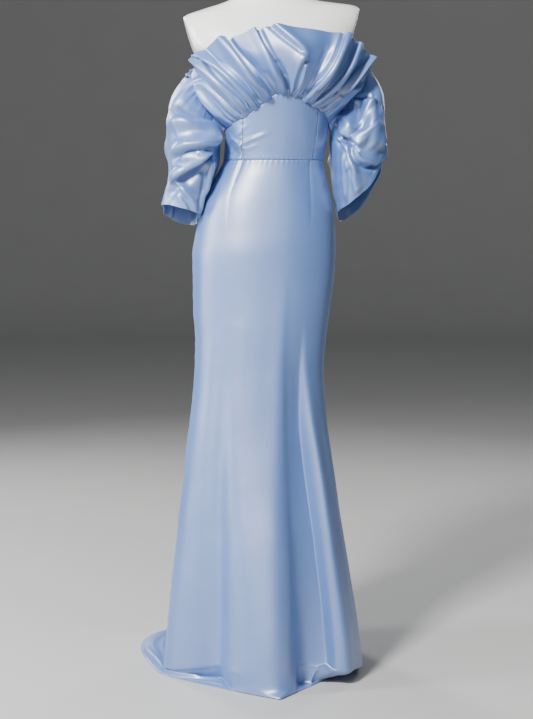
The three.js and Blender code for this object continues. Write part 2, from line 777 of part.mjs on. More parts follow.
function loftGeometry(rings) {
  const n = rings[0].length;
  const positions = rings.flat().flatMap((p) => [p.x, p.y, p.z]);
  const faces = [];
  const middles = [rings[0], rings.at(-1)].map((ring) => {
    const sum = ring.reduce((total, p) => total.add(p), new THREE.Vector3()).divideScalar(n);
    positions.push(sum.x, sum.y, sum.z);
    return positions.length / 3 - 1;
  });
  for (let i = 0; i < n; i++) {
    const next = (i + 1) % n;
    for (let j = 0; j < rings.length - 1; j++) {
      const a = j * n;
      faces.push(a + i, a + next, a + n + next, a + i, a + n + next, a + n + i);
    }
    const top = (rings.length - 1) * n;
    faces.push(middles[0], next, i, middles[1], top + i, top + next);
  }
  return solidGeometry(positions, faces);
}

const torsoHeights = [
  formBottom, 800, 860, 920, 970, 1020, 1070, 1120, 1150, 1180, 1210, 1240,
  1268, 1295, 1320, 1340, 1357, 1380, 1405, 1425, 1440, 1450, 1458, 1467, 1482, 1512, 1556, 1562,
];
add("form_torso", loftGeometry(torsoHeights.map(torsoRing)), formWhite);

// The pole, with its collar under the torso and its flange on the foot, is turned in one piece
const foot = { radius: 118, thick: 8, edge: 2 };
const pole = { radius: 12.5, flange: 34, flangeThick: 7 };

function turned(profile, segments) {
  const points = profile.map(([x, y]) => new THREE.Vector2(x, y));
  return new THREE.LatheGeometry(points, segments).rotateX(Math.PI / 2);
}

const poleLow = foot.thick + seamGap;
const poleHigh = formBottom - seamGap;
add("stand_pole", turned([
  [0, poleLow],
  [pole.flange, poleLow],
  [pole.flange, poleLow + pole.flangeThick],
  [pole.radius, poleLow + pole.flangeThick],
  [pole.radius, poleHigh - pole.flangeThick],
  [pole.flange, poleHigh - pole.flangeThick],
  [pole.flange, poleHigh],
  [0, poleHigh],
], 16), standSteel);
add("stand_foot", turned([
  [0, 0],
  [foot.radius, 0],
  [foot.radius, foot.thick - foot.edge],
  [foot.radius - foot.edge, foot.thick],
  [0, foot.thick],
], 32), standSteel);

export default dress;
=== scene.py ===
import math

import bpy
import numpy as np
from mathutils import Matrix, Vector


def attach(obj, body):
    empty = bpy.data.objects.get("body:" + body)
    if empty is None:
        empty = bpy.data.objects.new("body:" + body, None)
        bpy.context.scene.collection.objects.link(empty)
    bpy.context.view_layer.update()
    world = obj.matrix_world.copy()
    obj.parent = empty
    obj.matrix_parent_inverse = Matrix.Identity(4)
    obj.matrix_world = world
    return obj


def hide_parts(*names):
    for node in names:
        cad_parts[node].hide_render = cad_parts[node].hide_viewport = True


# The looks of a satin mermaid dress on its form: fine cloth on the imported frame.
# The cloth is worked out in millimetres and built in metres. Angles round the body
# start at the front, 0, and grow towards +X.
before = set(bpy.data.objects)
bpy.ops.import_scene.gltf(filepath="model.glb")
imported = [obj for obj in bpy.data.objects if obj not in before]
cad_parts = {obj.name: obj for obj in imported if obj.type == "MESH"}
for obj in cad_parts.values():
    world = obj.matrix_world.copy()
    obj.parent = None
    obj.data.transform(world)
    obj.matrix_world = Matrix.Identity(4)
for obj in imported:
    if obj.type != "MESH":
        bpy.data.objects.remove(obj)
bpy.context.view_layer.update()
print("frame loaded:", len(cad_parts), "nodes")

mm = 0.001
chance = np.random.default_rng(20)


# Maths for every piece

def table(names, rows):
    columns = zip(*rows)
    return {name: np.array(column, float) for name, column in zip(names.split(), columns)}


def ease(share):
    s = np.clip(share, 0, 1)
    return s * s * (3 - 2 * s)


def mix(a, b, share):
    return a + (b - a) * share


def power(value, exponent):
    return np.sign(value) * np.abs(value) ** exponent


# A smooth curve through points, with no overshoot; ys may hold several columns
def curve(xs, ys):
    xs = np.asarray(xs, float)
    ys = np.asarray(ys, float)
    rise = np.diff(ys, axis=0) / np.diff(xs).reshape(-1, *[1] * (ys.ndim - 1))
    before = np.concatenate([rise[:1], rise])
    after = np.concatenate([rise, rise[-1:]])
    same = before * after > 0
    slopes = np.where(same, 2 * before * after / np.where(same, before + after, 1), 0)

    def at(x):
        x = np.asarray(x, float)
        i = np.clip(np.searchsorted(xs, x, side="right") - 1, 0, len(xs) - 2)
        span = xs[i + 1] - xs[i]
        s = np.clip((x - xs[i]) / span, 0, 1)
        if ys.ndim > 1:
            s = s[..., None]
            span = span[..., None]
        start = ys[i] + s * (slopes[i] * span + 2 * ys[i])
        end = ys[i + 1] + (1 - s) * (2 * ys[i + 1] - slopes[i + 1] * span)
        return (1 - s) ** 2 * start + s * s * end

    return at


def curves(rows, key):
    return {name: curve(rows[key], rows[name]) for name in rows if name != key}


def section(shape, z):
    return {name: at(z) for name, at in shape.items()}


# A point on a rounded section, at an angle round it
def sectionPoint(angle, size, grow, z):
    s = np.sin(np.radians(angle))
    c = np.cos(np.radians(angle))
    exponent = 2 / size.get("power", cut["sectionPower"])
    depth = np.where(c > 0, size["front"], size["back"]) + grow
    x = size["middle"] + (size["half"] + grow) * power(s, exponent)
    y = -depth * power(c, exponent)
    return np.stack(np.broadcast_arrays(x, y, z), -1)


def bodyPoint(angle, z, grow=0):
    return sectionPoint(angle, section(body, z), grow, z)


# Outward unit normals of a grid whose columns run anticlockwise and whose rows run up
def normalsOf(grid, closed=False):
    if closed:
        along = np.roll(grid, -1, 1) - np.roll(grid, 1, 1)
    else:
        along = np.gradient(grid, axis=1)
    up = np.gradient(grid, axis=0)
    normal = np.cross(along, up)
    return normal / np.maximum(np.linalg.norm(normal, axis=-1, keepdims=True), 1e-9)


# How folds and creases end: what is left of a stroke at its ends, the share of its length over
# which it fades, and how far beside a crease the cloth dips, in widths of its steep side
foldEnds = {"left": 0.35, "strokeFade": 0.3, "creaseFade": 0.2, "dipAt": 1.7, "creaseSteps": 13}


# Folds laid on cloth as strokes, from one place to another. Each is a soft ridge, or a trough
# where out is below 0, sharper on one side by its lean, and fades at its ends.
def strokeLift(folds, across, up, acrossScale, upScale):
    total = 0
    for fromAcross, fromUp, toAcross, toUp, out, width, lean in zip(*folds.values()):
        px = (across - fromAcross) * acrossScale
        py = (up - fromUp) * upScale
        dx = (toAcross - fromAcross) * acrossScale
        dy = (toUp - fromUp) * upScale
        length = math.hypot(dx, dy)
        along = np.clip((px * dx + py * dy) / length ** 2, 0, 1)
        beside = (px * dy - py * dx) / length
        far = np.hypot(px - along * dx, py - along * dy)
        span = width * (1 + lean * np.tanh(beside / width))
        ends = ease(along / foldEnds["strokeFade"]) * ease((1 - along) / foldEnds["strokeFade"])
        fade = foldEnds["left"] + (1 - foldEnds["left"]) * ends
        total = total + out * fade * np.exp(-(far / span) ** 2)
    return total


# Plain soft folds with no lean and no fade at their ends
def plainLift(folds, across, up, acrossScale, upScale):
    total = 0
    for fromAcross, fromUp, toAcross, toUp, out, width in zip(*folds.values()):
        px = (across - fromAcross) * acrossScale
        py = (up - fromUp) * upScale
        dx = (toAcross - fromAcross) * acrossScale
        dy = (toUp - fromUp) * upScale
        along = np.clip((px * dx + py * dy) / (dx * dx + dy * dy), 0, 1)
        far = np.hypot(px - along * dx, py - along * dy)
        total = total + out * np.exp(-(far / width) ** 2)
    return total


# Creases on curved lines, each through a middle place. The side towards its lean is steep, and
# the cloth dips beside it there by under. endFade is the share of the line that fades at its end.
def creaseLift(
        creases, across, up, acrossScale, upScale, outScale=1, underScale=1,
        endFade=foldEnds["creaseFade"]):
    total = 0
    shares = np.linspace(0, 1, foldEnds["creaseSteps"])[:, None]
    for row in zip(*creases.values()):
        start, via, stop = (np.array(row[k:k + 2]) * [acrossScale, upScale] for k in (0, 2, 4))
        out, width, lean, under = row[6:]
        bend = 2 * via - (start + stop) / 2
        line = (1 - shares) ** 2 * start + 2 * shares * (1 - shares) * bend + shares ** 2 * stop
        far = np.full(np.shape(across + up), 1e9)
        side = np.zeros_like(far)
        passed = np.zeros_like(far)
        for k, (a, b) in enumerate(zip(line[:-1], line[1:])):
            px = across * acrossScale - a[0]
            py = up * upScale - a[1]
            dx, dy = b - a
            along = np.clip((px * dx + py * dy) / (dx * dx + dy * dy), 0, 1)
            apart = np.hypot(px - along * dx, py - along * dy)
            nearer = apart < far
            far = np.where(nearer, apart, far)
            side = np.where(nearer, px * dy - py * dx, side)
            passed = np.where(nearer, (k + along) / (len(line) - 1), passed)
        steep = width * (1 - abs(lean))
        onSteep = side * lean > 0
        span = np.where(onSteep, steep, width * (1 + abs(lean)))
        dip = np.exp(-((far - foldEnds["dipAt"] * steep) / steep) ** 2) * onSteep
        fade = ease(passed / foldEnds["creaseFade"]) * ease((1 - passed) / endFade)
        ridge = outScale * out * np.exp(-(far / span) ** 2)
        total = total + fade * (ridge - underScale * under * dip)
    return total


# Slow unevenness of loose cloth, the same on every run, from a few waves laid at all angles
def slackLift(across, up, size, depth, seed, waves=9):
    phases = np.random.default_rng(seed).uniform(0, 2 * np.pi, (waves, 3))
    total = 0
    for first, second, turn in phases:
        pitch = size * (0.6 + 0.15 * first)
        wave = np.cos(turn) * across + np.sin(turn) * up
        total = total + np.sin(2 * np.pi * wave / pitch + second)
    return depth * total / 3


# Rows or columns that crowd towards both ends, where the seams turn under
def crowded(start, stop, count, edge):
    inner = np.linspace(edge, 1 - edge, count)
    near = edge * np.array([0, 0.15, 0.3, 0.5, 0.75])
    return mix(start, stop, np.concatenate([near, inner, 1 - near[::-1]]))


# Each seam's edge turns under by turn within turnReach, and the cloth beside it puckers
seams = {
    "skirtSide": {"turn": 0.8, "turnReach": 1.6, "pitch": 34, "pucker": 0.35, "reach": 12},
    "skirtWaist": {"turn": 1.0, "turnReach": 1.8, "pitch": 11, "pucker": 0.28, "reach": 10},
    "bodiceSide": {"turn": 1.1, "turnReach": 1.6, "pitch": 12, "pucker": 0.35, "reach": 8},
    "bodiceWaist": {"turn": 1.1, "turnReach": 1.8, "pitch": 10, "pucker": 0.22, "reach": 8},
    "bodiceTop": {"turn": 0.4, "turnReach": 1.8, "pitch": 8, "pucker": 0.35, "reach": 9},
}

# Rows of stitches above a hem: how far from the edge, how deep and how wide
hems = {
    "ruffle": {"above": 7, "depth": 0.35, "reach": 0.8},
    "sleeve": {"above": 8, "depth": 0.35, "reach": 0.9},
}


def groove(apart, depth, reach):
    return -depth * np.exp(-(apart / reach) ** 2)


def seamLift(name, apart, along):
    seam = seams[name]
    wave = np.sin(2 * np.pi * along / seam["pitch"] + 1.7 * np.sin(along / 23))
    pucker = seam["pucker"] * wave * np.exp(-(apart / seam["reach"]) ** 2)
    return groove(apart, seam["turn"], seam["turnReach"]) + pucker


def hemLift(name, fromEdge):
    hem = hems[name]
    return groove(fromEdge - hem["above"], hem["depth"], hem["reach"])


# Shape tables, the same as the frame's

cut = {
    "sectionPower": 2.2,
    "wall": 1.6,
    "seamGap": 0.3,
    "waist": 1120,
    "princessLeft": 42,
    "princessRight": 45,
    "backPrincess": 135,
    "side": 90,
    "hemStart": 90,
    "leastFold": 18,
}

body = curves(table("z middle half front back", [
    (50, -26, 219, 209, 300),
    (114, -28, 211, 202, 272),
    (177, -29, 203, 193, 246),
    (240, -31, 194, 182, 221),
    (302, -31, 185, 170, 198),
    (365, -33, 177, 158, 177),
    (427, -33, 168, 146, 160),
    (489, -34, 160, 135, 146),
    (551, -34, 151, 126, 134),
    (613, -33, 145, 118, 125),
    (675, -32, 141, 112, 119),
    (736, -29, 143, 109, 117),
    (797, -27, 149, 108, 117),
    (858, -24, 153, 108, 119),
    (919, -22, 155, 108, 121),
    (975, -17, 150, 105, 114),
    (1027, -15, 141, 100, 102),
    (1079, -9, 122, 93, 88),
    (1120, -2, 108, 88, 80),
    (1157, 3, 110, 93, 84),
    (1198, 5, 112, 102, 90),
    (1240, 5, 116, 111, 95),
    (1262, 5, 119, 115, 97),
]), "z")

archRows = table("angle z", [
    (-180, 1186), (-140, 1188), (-100, 1187), (-78, 1189), (-58, 1198), (-38, 1211),
    (-18, 1233), (0, 1257), (13, 1252), (33, 1235), (61, 1217), (80, 1201),
    (96, 1194), (140, 1190), (180, 1186),
])
arch = curve(archRows["angle"], archRows["z"])


# Materials

def newMaterial(name):
    material = bpy.data.materials.new(name)
    material.use_nodes = True
    tree = material.node_tree
    tree.nodes.clear()
    out = tree.nodes.new("ShaderNodeOutputMaterial")
    shader = tree.nodes.new("ShaderNodeBsdfPrincipled")
    tree.links.new(shader.outputs["BSDF"], out.inputs["Surface"])
    return material, tree, shader


def noiseNode(tree, where, scale, detail=3.0, stretch=None):
    place = tree.nodes.new("ShaderNodeTexCoord")
    noise = tree.nodes.new("ShaderNodeTexNoise")
    noise.inputs["Scale"].default_value = scale
    noise.inputs["Detail"].default_value = detail
    source = place.outputs[where]
    if stretch:
        mapping = tree.nodes.new("ShaderNodeMapping")
        mapping.inputs["Scale"].default_value = stretch
        tree.links.new(source, mapping.inputs["Vector"])
        source = mapping.outputs["Vector"]
    tree.links.new(source, noise.inputs["Vector"])
    return noise.outputs["Fac"]


def rampNode(tree, factor, low, high, start=0.3, end=0.7):
    ramp = tree.nodes.new("ShaderNodeValToRGB")
    ramp.color_ramp.elements[0].position = start
    ramp.color_ramp.elements[0].color = low
    ramp.color_ramp.elements[1].position = end
    ramp.color_ramp.elements[1].color = high
    tree.links.new(factor, ramp.inputs["Fac"])
    return ramp.outputs["Color"]


def spreadNode(tree, factor, low, high):
    spread = tree.nodes.new("ShaderNodeMapRange")
    spread.inputs["To Min"].default_value = low
    spread.inputs["To Max"].default_value = high
    tree.links.new(factor, spread.inputs["Value"])
    return spread.outputs["Result"]


def bumpNode(tree, height, strength, distance, before=None):
    bump = tree.nodes.new("ShaderNodeBump")
    bump.inputs["Strength"].default_value = strength
    bump.inputs["Distance"].default_value = distance
    tree.links.new(height, bump.inputs["Height"])
    if before:
        tree.links.new(before, bump.inputs["Normal"])
    return bump.outputs["Normal"]


satin = {
    "deep": (0.060, 0.148, 0.415, 1),
    "pale": (0.085, 0.182, 0.465, 1),
    "smooth": 0.42,
    "worn": 0.50,
    "lustre": 1.95,  # the refraction, well above plain cloth's, gives satin its wide soft shine
    "sheen": 0.10,
    "sheenTint": (0.80, 0.87, 1.0, 1),
    "sheenSpread": 0.35,
    "threads": (1500.0, 5200.0, 1.0),  # across and along the cloth, to the metre
    "threadDepth": 0.0002,  # in metres, as slackDepth is
    "slackDepth": 0.0012,
    "relief": 0.12,
}


def makeSatin():
    material, tree, shader = newMaterial("satin")
    dye = noiseNode(tree, "Object", 6.0, 4.0)
    tree.links.new(rampNode(tree, dye, satin["deep"], satin["pale"]), shader.inputs["Base Color"])
    polish = noiseNode(tree, "Object", 38.0, 3.0)
    tree.links.new(
        spreadNode(tree, polish, satin["smooth"], satin["worn"]), shader.inputs["Roughness"])
    shader.inputs["IOR"].default_value = satin["lustre"]
    shader.inputs["Specular IOR Level"].default_value = 1.0
    shader.inputs["Sheen Weight"].default_value = satin["sheen"]
    shader.inputs["Sheen Roughness"].default_value = satin["sheenSpread"]
    shader.inputs["Sheen Tint"].default_value = satin["sheenTint"]
    weave = noiseNode(tree, "UV", 1.0, 2.0, satin["threads"])
    slack = noiseNode(tree, "Object", 17.0, 2.0)
    soft = bumpNode(tree, slack, satin["relief"], satin["slackDepth"])
    raised = bumpNode(tree, weave, satin["relief"], satin["threadDepth"], soft)
    tree.links.new(raised, shader.inputs["Normal"])
    return material


gloss = {
    "deep": (0.80, 0.79, 0.775, 1),
    "pale": (0.86, 0.855, 0.845, 1),
    "smooth": 0.22,
    "worn": 0.34,
    "coat": 0.4,
    "coatBlur": 0.12,
}


def makeFormPaint():
    material, tree, shader = newMaterial("form_paint")
    tint = noiseNode(tree, "Object", 4.0, 3.0)
    tree.links.new(rampNode(tree, tint, gloss["deep"], gloss["pale"]), shader.inputs["Base Color"])
    wear = noiseNode(tree, "Object", 60.0, 4.0)
    tree.links.new(
        spreadNode(tree, wear, gloss["smooth"], gloss["worn"]), shader.inputs["Roughness"])
    shader.inputs["Coat Weight"].default_value = gloss["coat"]
    shader.inputs["Coat Roughness"].default_value = gloss["coatBlur"]
    skin = noiseNode(tree, "Object", 240.0, 2.0)
    tree.links.new(bumpNode(tree, skin, 0.05, 0.0003), shader.inputs["Normal"])
    return material


steel = {"deep": (0.52, 0.52, 0.54, 1), "pale": (0.66, 0.66, 0.68, 1), "smooth": 0.22, "worn": 0.36}


def makeSteel():
    material, tree, shader = newMaterial("stand_steel")
    shader.inputs["Metallic"].default_value = 1.0
    grain = noiseNode(tree, "Object", 1.0, 3.0, (40.0, 40.0, 1500.0))
    tree.links.new(
        rampNode(tree, grain, steel["deep"], steel["pale"]), shader.inputs["Base Color"])
    tree.links.new(
        spreadNode(tree, grain, steel["smooth"], steel["worn"]), shader.inputs["Roughness"])
    tree.links.new(bumpNode(tree, grain, 0.06, 0.0002), shader.inputs["Normal"])
    return material


enamel = {"deep": (0.24, 0.35, 0.58, 1), "pale": (0.33, 0.45, 0.68, 1), "smooth": 0.25, "worn": 0.42}


def makeZipPaint():
    material, tree, shader = newMaterial("zip_paint")
    shader.inputs["Metallic"].default_value = 0.3
    chips = noiseNode(tree, "Object", 900.0, 3.0)
    tree.links.new(
        rampNode(tree, chips, enamel["deep"], enamel["pale"]), shader.inputs["Base Color"])
    tree.links.new(
        spreadNode(tree, chips, enamel["smooth"], enamel["worn"]), shader.inputs["Roughness"])
    shader.inputs["Coat Weight"].default_value = 0.3
    tree.links.new(bumpNode(tree, chips, 0.08, 0.0001), shader.inputs["Normal"])
    return material


satinCloth = makeSatin()
formPaint = makeFormPaint()
standSteel = makeSteel()
zipPaint = makeZipPaint()
print("materials made")


# Mesh building

shell = {"thick": 0.0012}  # in metres


def addMesh(name, points, faces, material, uvs=None):
    mesh = bpy.data.meshes.new(name)
    mesh.from_pydata((points * mm).tolist(), [], faces.tolist())
    if uvs is not None:
        layer = mesh.uv_layers.new(name="cloth")
        corners = np.empty(len(mesh.loops), np.int32)
        mesh.loops.foreach_get("vertex_index", corners)
        layer.data.foreach_set("uv", (uvs[corners] * mm).astype(np.float32).ravel())
    mesh.shade_smooth()
    mesh.materials.append(material)
    piece = bpy.data.objects.new(name, mesh)
    bpy.context.scene.collection.objects.link(piece)
    return piece


def gridFaces(rows, columns, closed):
    ids = np.arange(rows * columns).reshape(rows, columns)
    if closed:
        ids = np.concatenate([ids, ids[:, :1]], 1)
    return np.stack([ids[:-1, :-1], ids[:-1, 1:], ids[1:, 1:], ids[1:, :-1]], -1).reshape(-1, 4)


# A thin shell of cloth on a grid of outer points
def cloth(name, node, grid, closed=False):
    rows, columns = grid.shape[:2]
    girths = np.linalg.norm(np.diff(grid, axis=1), axis=-1).mean(0)
    heights = np.linalg.norm(np.diff(grid, axis=0), axis=-1).mean(1)
    across = np.concatenate([[0], np.cumsum(girths)])
    up = np.concatenate([[0], np.cumsum(heights)])
    uvs = np.stack(np.meshgrid(across, up), -1).reshape(-1, 2)
    faces = gridFaces(rows, columns, closed)
    piece = addMesh(name, grid.reshape(-1, 3), faces, satinCloth, uvs)
    wall = piece.modifiers.new("wall", "SOLIDIFY")
    wall.thickness = shell["thick"]
    wall.offset = -1
    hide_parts(node)
    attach(piece, "dress")


# Skirt

skirt = {
    "perDegree": 2.4,  # millimetres of cloth to a degree, round the skirt, its seams and its waist
    "seamPerDegree": 2.2,
    "waistPerDegree": 1.9,
    "sideGap": 0.08,  # degrees
    "dartTop": 42,
    "dartTip": 34,
    "dartLength": 145,
    "dartDepth": 2.2,
    "dartWidth": 3.4,
    "dartSeam": 1.5,
    "dartSeamWidth": 0.55,
    "floorSteps": 5,  # knots from the hem, over the tuck and the lip, to hemStart
    "rowsOnFloor": 64,
    "rowsUp": 150,
    "softFrom": 54,  # rows where the cloth is evened out, and how often
    "softUp": 40,
    "softTimes": 160,
    "ridge": 3,  # the angle where the hem lies smooth on the floor, without a break
    "ridgeWidth": 14,
    "roundFrom": 62,  # past this angle the hem's outline is rounded off
    "roundOver": 20,
    "lyingPerDegree": 1.5,  # millimetres on the floor, to a degree and to a knot
    "lyingPerStep": 26,
    "creaseFade": 0.42,
    "creaseFloor": 12,  # the creases grow from here, over creaseRise
    "creaseRise": 80,
    "slackSize": 130,
    "slack": 0.8,
}

flutes = table("angle width out top", [
    (-82, 11, 8, 470),
    (-45, 23, -88, 620),
    (4, 10, 26, 560),
    (24, 12, -54, 620),
    (50, 12, 12, 560),
    (78, 14, 4, 470),
    (106, 13, -24, 520),
    (130, 13, 14, 480),
    (154, 12, -26, 560),
    (180, 11, 10, 480),
    (-154, 12, -26, 560),
    (-128, 13, 12, 480),
    (-104, 13, -20, 520),
])

hemBreaks = curves(table("angle lipOut lipUp tuckOut tuckUp", [
    (-180, 24, 34, 50, 12),
    (-162, 26, 32, 50, 12),
    (-144, 22, 30, 42, 12),
    (-126, 16, 28, 28, 12),
    (-112, 10, 22, 10, 10),
    (-100, 6, 18, -2, 9),
    (-88, 4, 16, -8, 8),
    (-74, 3, 22, -12, 8),
    (-58, 2, 34, -14, 9),
    (-40, 3, 42, -14, 10),
    (-24, 5, 46, -10, 12),
    (-12, 8, 46, 4, 14),
    (-4, 10, 44, 20, 15),
    (4, 12, 42, 28, 16),
    (13, 9, 43, 10, 14),
    (22, 4, 44, -10, 12),
    (30, 3, 42, -16, 11),
    (44, 2, 36, -20, 10),
    (60, 3, 28, -16, 9),
    (76, 6, 17, -9, 8),
    (90, 8, 13, -6, 8),
    (104, 8, 18, -2, 9),
    (120, 12, 24, 10, 11),
    (144, 18, 28, 30, 12),
    (162, 24, 32, 46, 12),
    (180, 24, 34, 50, 12),
]), "angle")

hemPlan = table("x y", [
    (-35, 438), (-150, 412), (-228, 365), (-278, 295), (-298, 205), (-290, 105),
    (-266, 20), (-248, -31), (-190, -94), (-120, -156), (-78, -192), (-5, -246),
    (118, -84), (168, -34), (184, 20), (196, 110), (178, 220), (124, 335),
    (45, 408), (-35, 438),
])

# Creases of the skirt, by angle and height. Below hemStart the height counts down along the cloth.
skirtFolds = table("fromAngle fromUp toAngle toUp out width lean", [
    (-88, 1100, -58, 1068, 0.9, 9, 0.3),
    (-84, 1078, -50, 1040, -0.8, 8, 0.0),
    (-70, 1112, -46, 1098, 0.7, 6, 0.2),
    (88, 1102, 60, 1072, 0.8, 9, 0.3),
    (84, 1080, 52, 1046, -0.7, 8, 0.0),
    (-44, 700, -58, 260, -4.5, 26, 0.0),
    (-62, 900, -70, 420, 2.5, 20, 0.0),
    (-20, 760, -24, 380, 2.0, 20, 0.2),
    (12, 860, 15, 430, 1.4, 13, 0.4),
    (19, 640, 21, 250, -2.4, 14, 0.2),
    (33, 520, 36, 130, 2.6, 13, 0.3),
    (66, 560, 64, 120, 2.2, 12, 0.2),
    (88, 620, 92, 200, -1.8, 15, 0.0),
    (-14, 430, -10, 120, 2.0, 13, -0.3),
    (-34, 380, -36, 110, -1.8, 18, 0.0),
    (-70, 470, -72, 120, 1.6, 15, 0.2),
    (118, 700, 114, 180, 2.0, 14, 0.2),
    (142, 640, 143, 160, -2.2, 14, 0.1),
    (166, 680, 168, 170, 2.3, 13, 0.2),
    (-166, 660, -168, 160, 2.1, 13, 0.1),
    (-141, 640, -142, 170, -2.1, 14, 0.1),
    (-116, 600, -114, 150, 2.2, 14, 0.2),
    (-94, 540, -92, 150, -1.5, 13, 0.0),
])

# Deep soft folds with one steep side
skirtCreases = table("fromAngle fromUp viaAngle viaUp toAngle toUp out width lean under", [
    (33, -140, 38, 340, 30, 800, -32, 22, 0.62, 0.0),
    (46, -140, 47, 340, 41, 720, 8, 13, -0.45, 0.0),
    (6, -60, 14, 430, 12, 900, 4, 20, 0.3, 0.0),
    (-40, -60, -36, 380, -30, 740, -9, 24, -0.2, 0.0),
    (-62, -60, -56, 420, -50, 860, 3, 20, 0.2, 0.0),
    (168, -60, 164, 380, 160, 760, -7, 18, 0.4, 0.0),
    (-146, -60, -150, 360, -148, 720, -7, 18, -0.4, 0.0),
    (128, -60, 130, 360, 126, 700, 5, 18, 0.3, 0.0),
])


def fluteLift(angle, z):
    total = 0
    for at, width, out, top in zip(*flutes.values()):
        apart = (angle - at + 540) % 360 - 180
        down = np.clip((top - z) / top, 0, 1)
        total = total + out * np.exp(-(apart / width) ** 2) * down ** 1.6
    return total


def dartDip(angle, z):
    down = np.clip((cut["waist"] - z) / skirt["dartLength"], 0, 1)
    apart = np.abs(angle) - mix(skirt["dartTop"], skirt["dartTip"], down)
    stitched = groove(apart, skirt["dartSeam"], skirt["dartSeamWidth"])
    soft = groove(apart, skirt["dartDepth"], skirt["dartWidth"])
    return (1 - down) * soft + np.sqrt(np.clip(1 - down, 0, 1)) * stitched


def skirtWall(angle, z):
    return bodyPoint(angle, z, fluteLift(angle, z) + dartDip(angle, z))


# How far the hem's plan lies from the skirt's middle line, in each direction
def hemReach(middle, outward):
    best = np.zeros(len(outward))
    corners = np.stack([hemPlan["x"], hemPlan["y"]], -1)
    for start, stop in zip(corners[:-1], corners[1:]):
        run = stop - start
        turn = outward[:, 0] * run[1] - outward[:, 1] * run[0]
        side = start - [middle, 0]
        reach = (side[0] * run[1] - side[1] * run[0]) / turn
        share = (side[0] * outward[:, 1] - side[1] * outward[:, 0]) / turn
        best = np.where((share >= 0) & (share <= 1) & (reach > best), reach, best)
    return best


roundness = [(-10, 1), (-5, 2), (0, 3), (5, 2), (10, 1)]  # degrees aside, and how much each counts


# How far the hem lies outside the skirt's wall at hemStart
def hemOutAt(angles):
    top = skirtWall(angles, cut["hemStart"])
    middle = body["middle"](cut["hemStart"])
    outward = top[:, :2] - [middle, 0]
    reach = np.linalg.norm(outward, axis=1)
    return hemReach(middle, outward / reach[:, None]) - reach


# Soft folds of the cloth that lies on the floor, by angle and step up from the hem
trainFolds = table("fromAngle fromStep toAngle toStep out width", [
    (-172, 0.45, -100, 0.55, 7, 9),
    (-168, 1.05, -92, 0.95, 10, 9),
    (-150, 1.60, -84, 1.45, 8, 8),
    (-110, 0.30, -62, 1.10, 5, 7),
    (-84, 0.90, -44, 1.50, 6, 7),
    (-60, 0.45, -34, 0.95, 4, 7),
    (176, 0.50, 120, 0.60, 7, 9),
    (172, 1.20, 118, 1.15, 9, 9),
    (104, 0.60, 78, 1.00, 4, 7),
])


# The part of the skirt that breaks and lies on the floor, v 0 at the hem and 5 at hemStart
def skirtOnFloor(angles, vs):
    top = skirtWall(angles, cut["hemStart"])
    middle = body["middle"](cut["hemStart"])
    outward = top[:, :2] - [middle, 0]
    reach = np.linalg.norm(outward, axis=1)
    outward /= reach[:, None]
    b = {name: at(angles) for name, at in hemBreaks.items()}
    rounded = sum(share * hemOutAt(angles + apart) for apart, share in roundness) / 9
    rounding = ease((np.abs(angles) - skirt["roundFrom"]) / skirt["roundOver"])
    hemOut = mix(hemOutAt(angles), rounded, rounding)
    fold = np.maximum(0, hemOut - b["tuckOut"])
    tuckOut = hemOut - fold * ease(fold / cut["leastFold"])
    wall = np.full(len(angles), cut["wall"])
    knots = np.arange(skirt["floorSteps"] + 1)
    out = curve(knots, [
        hemOut, mix(tuckOut, hemOut, 0.5), tuckOut,
        mix(tuckOut, b["lipOut"], 0.62), b["lipOut"], 0 * wall])(vs)
    up = curve(knots, [
        wall, wall + 0.5, b["tuckUp"] * 0.5 + 1,
        mix(b["tuckUp"], b["lipUp"], 0.55), b["lipUp"], 0 * wall + cut["hemStart"]])(vs)
    share = (vs / skirt["floorSteps"])[:, None]
    ridge = np.exp(-((angles - skirt["ridge"]) / skirt["ridgeWidth"]) ** 2)[None]
    out = mix(out, hemOut * (1 - share) ** 1.5, ridge)
    up = mix(up, cut["wall"] + (cut["hemStart"] - cut["wall"]) * share ** 1.3, ridge)
    lying = ease(vs / 0.25)[:, None] * ease((2.2 - vs) / 0.5)[:, None]
    up = up + lying * plainLift(
        trainFolds, angles[None], vs[:, None], skirt["lyingPerDegree"], skirt["lyingPerStep"])
    flat = outward[None] * (reach + out)[..., None] + [middle, 0]
    return np.concatenate([flat, up[..., None]], -1)


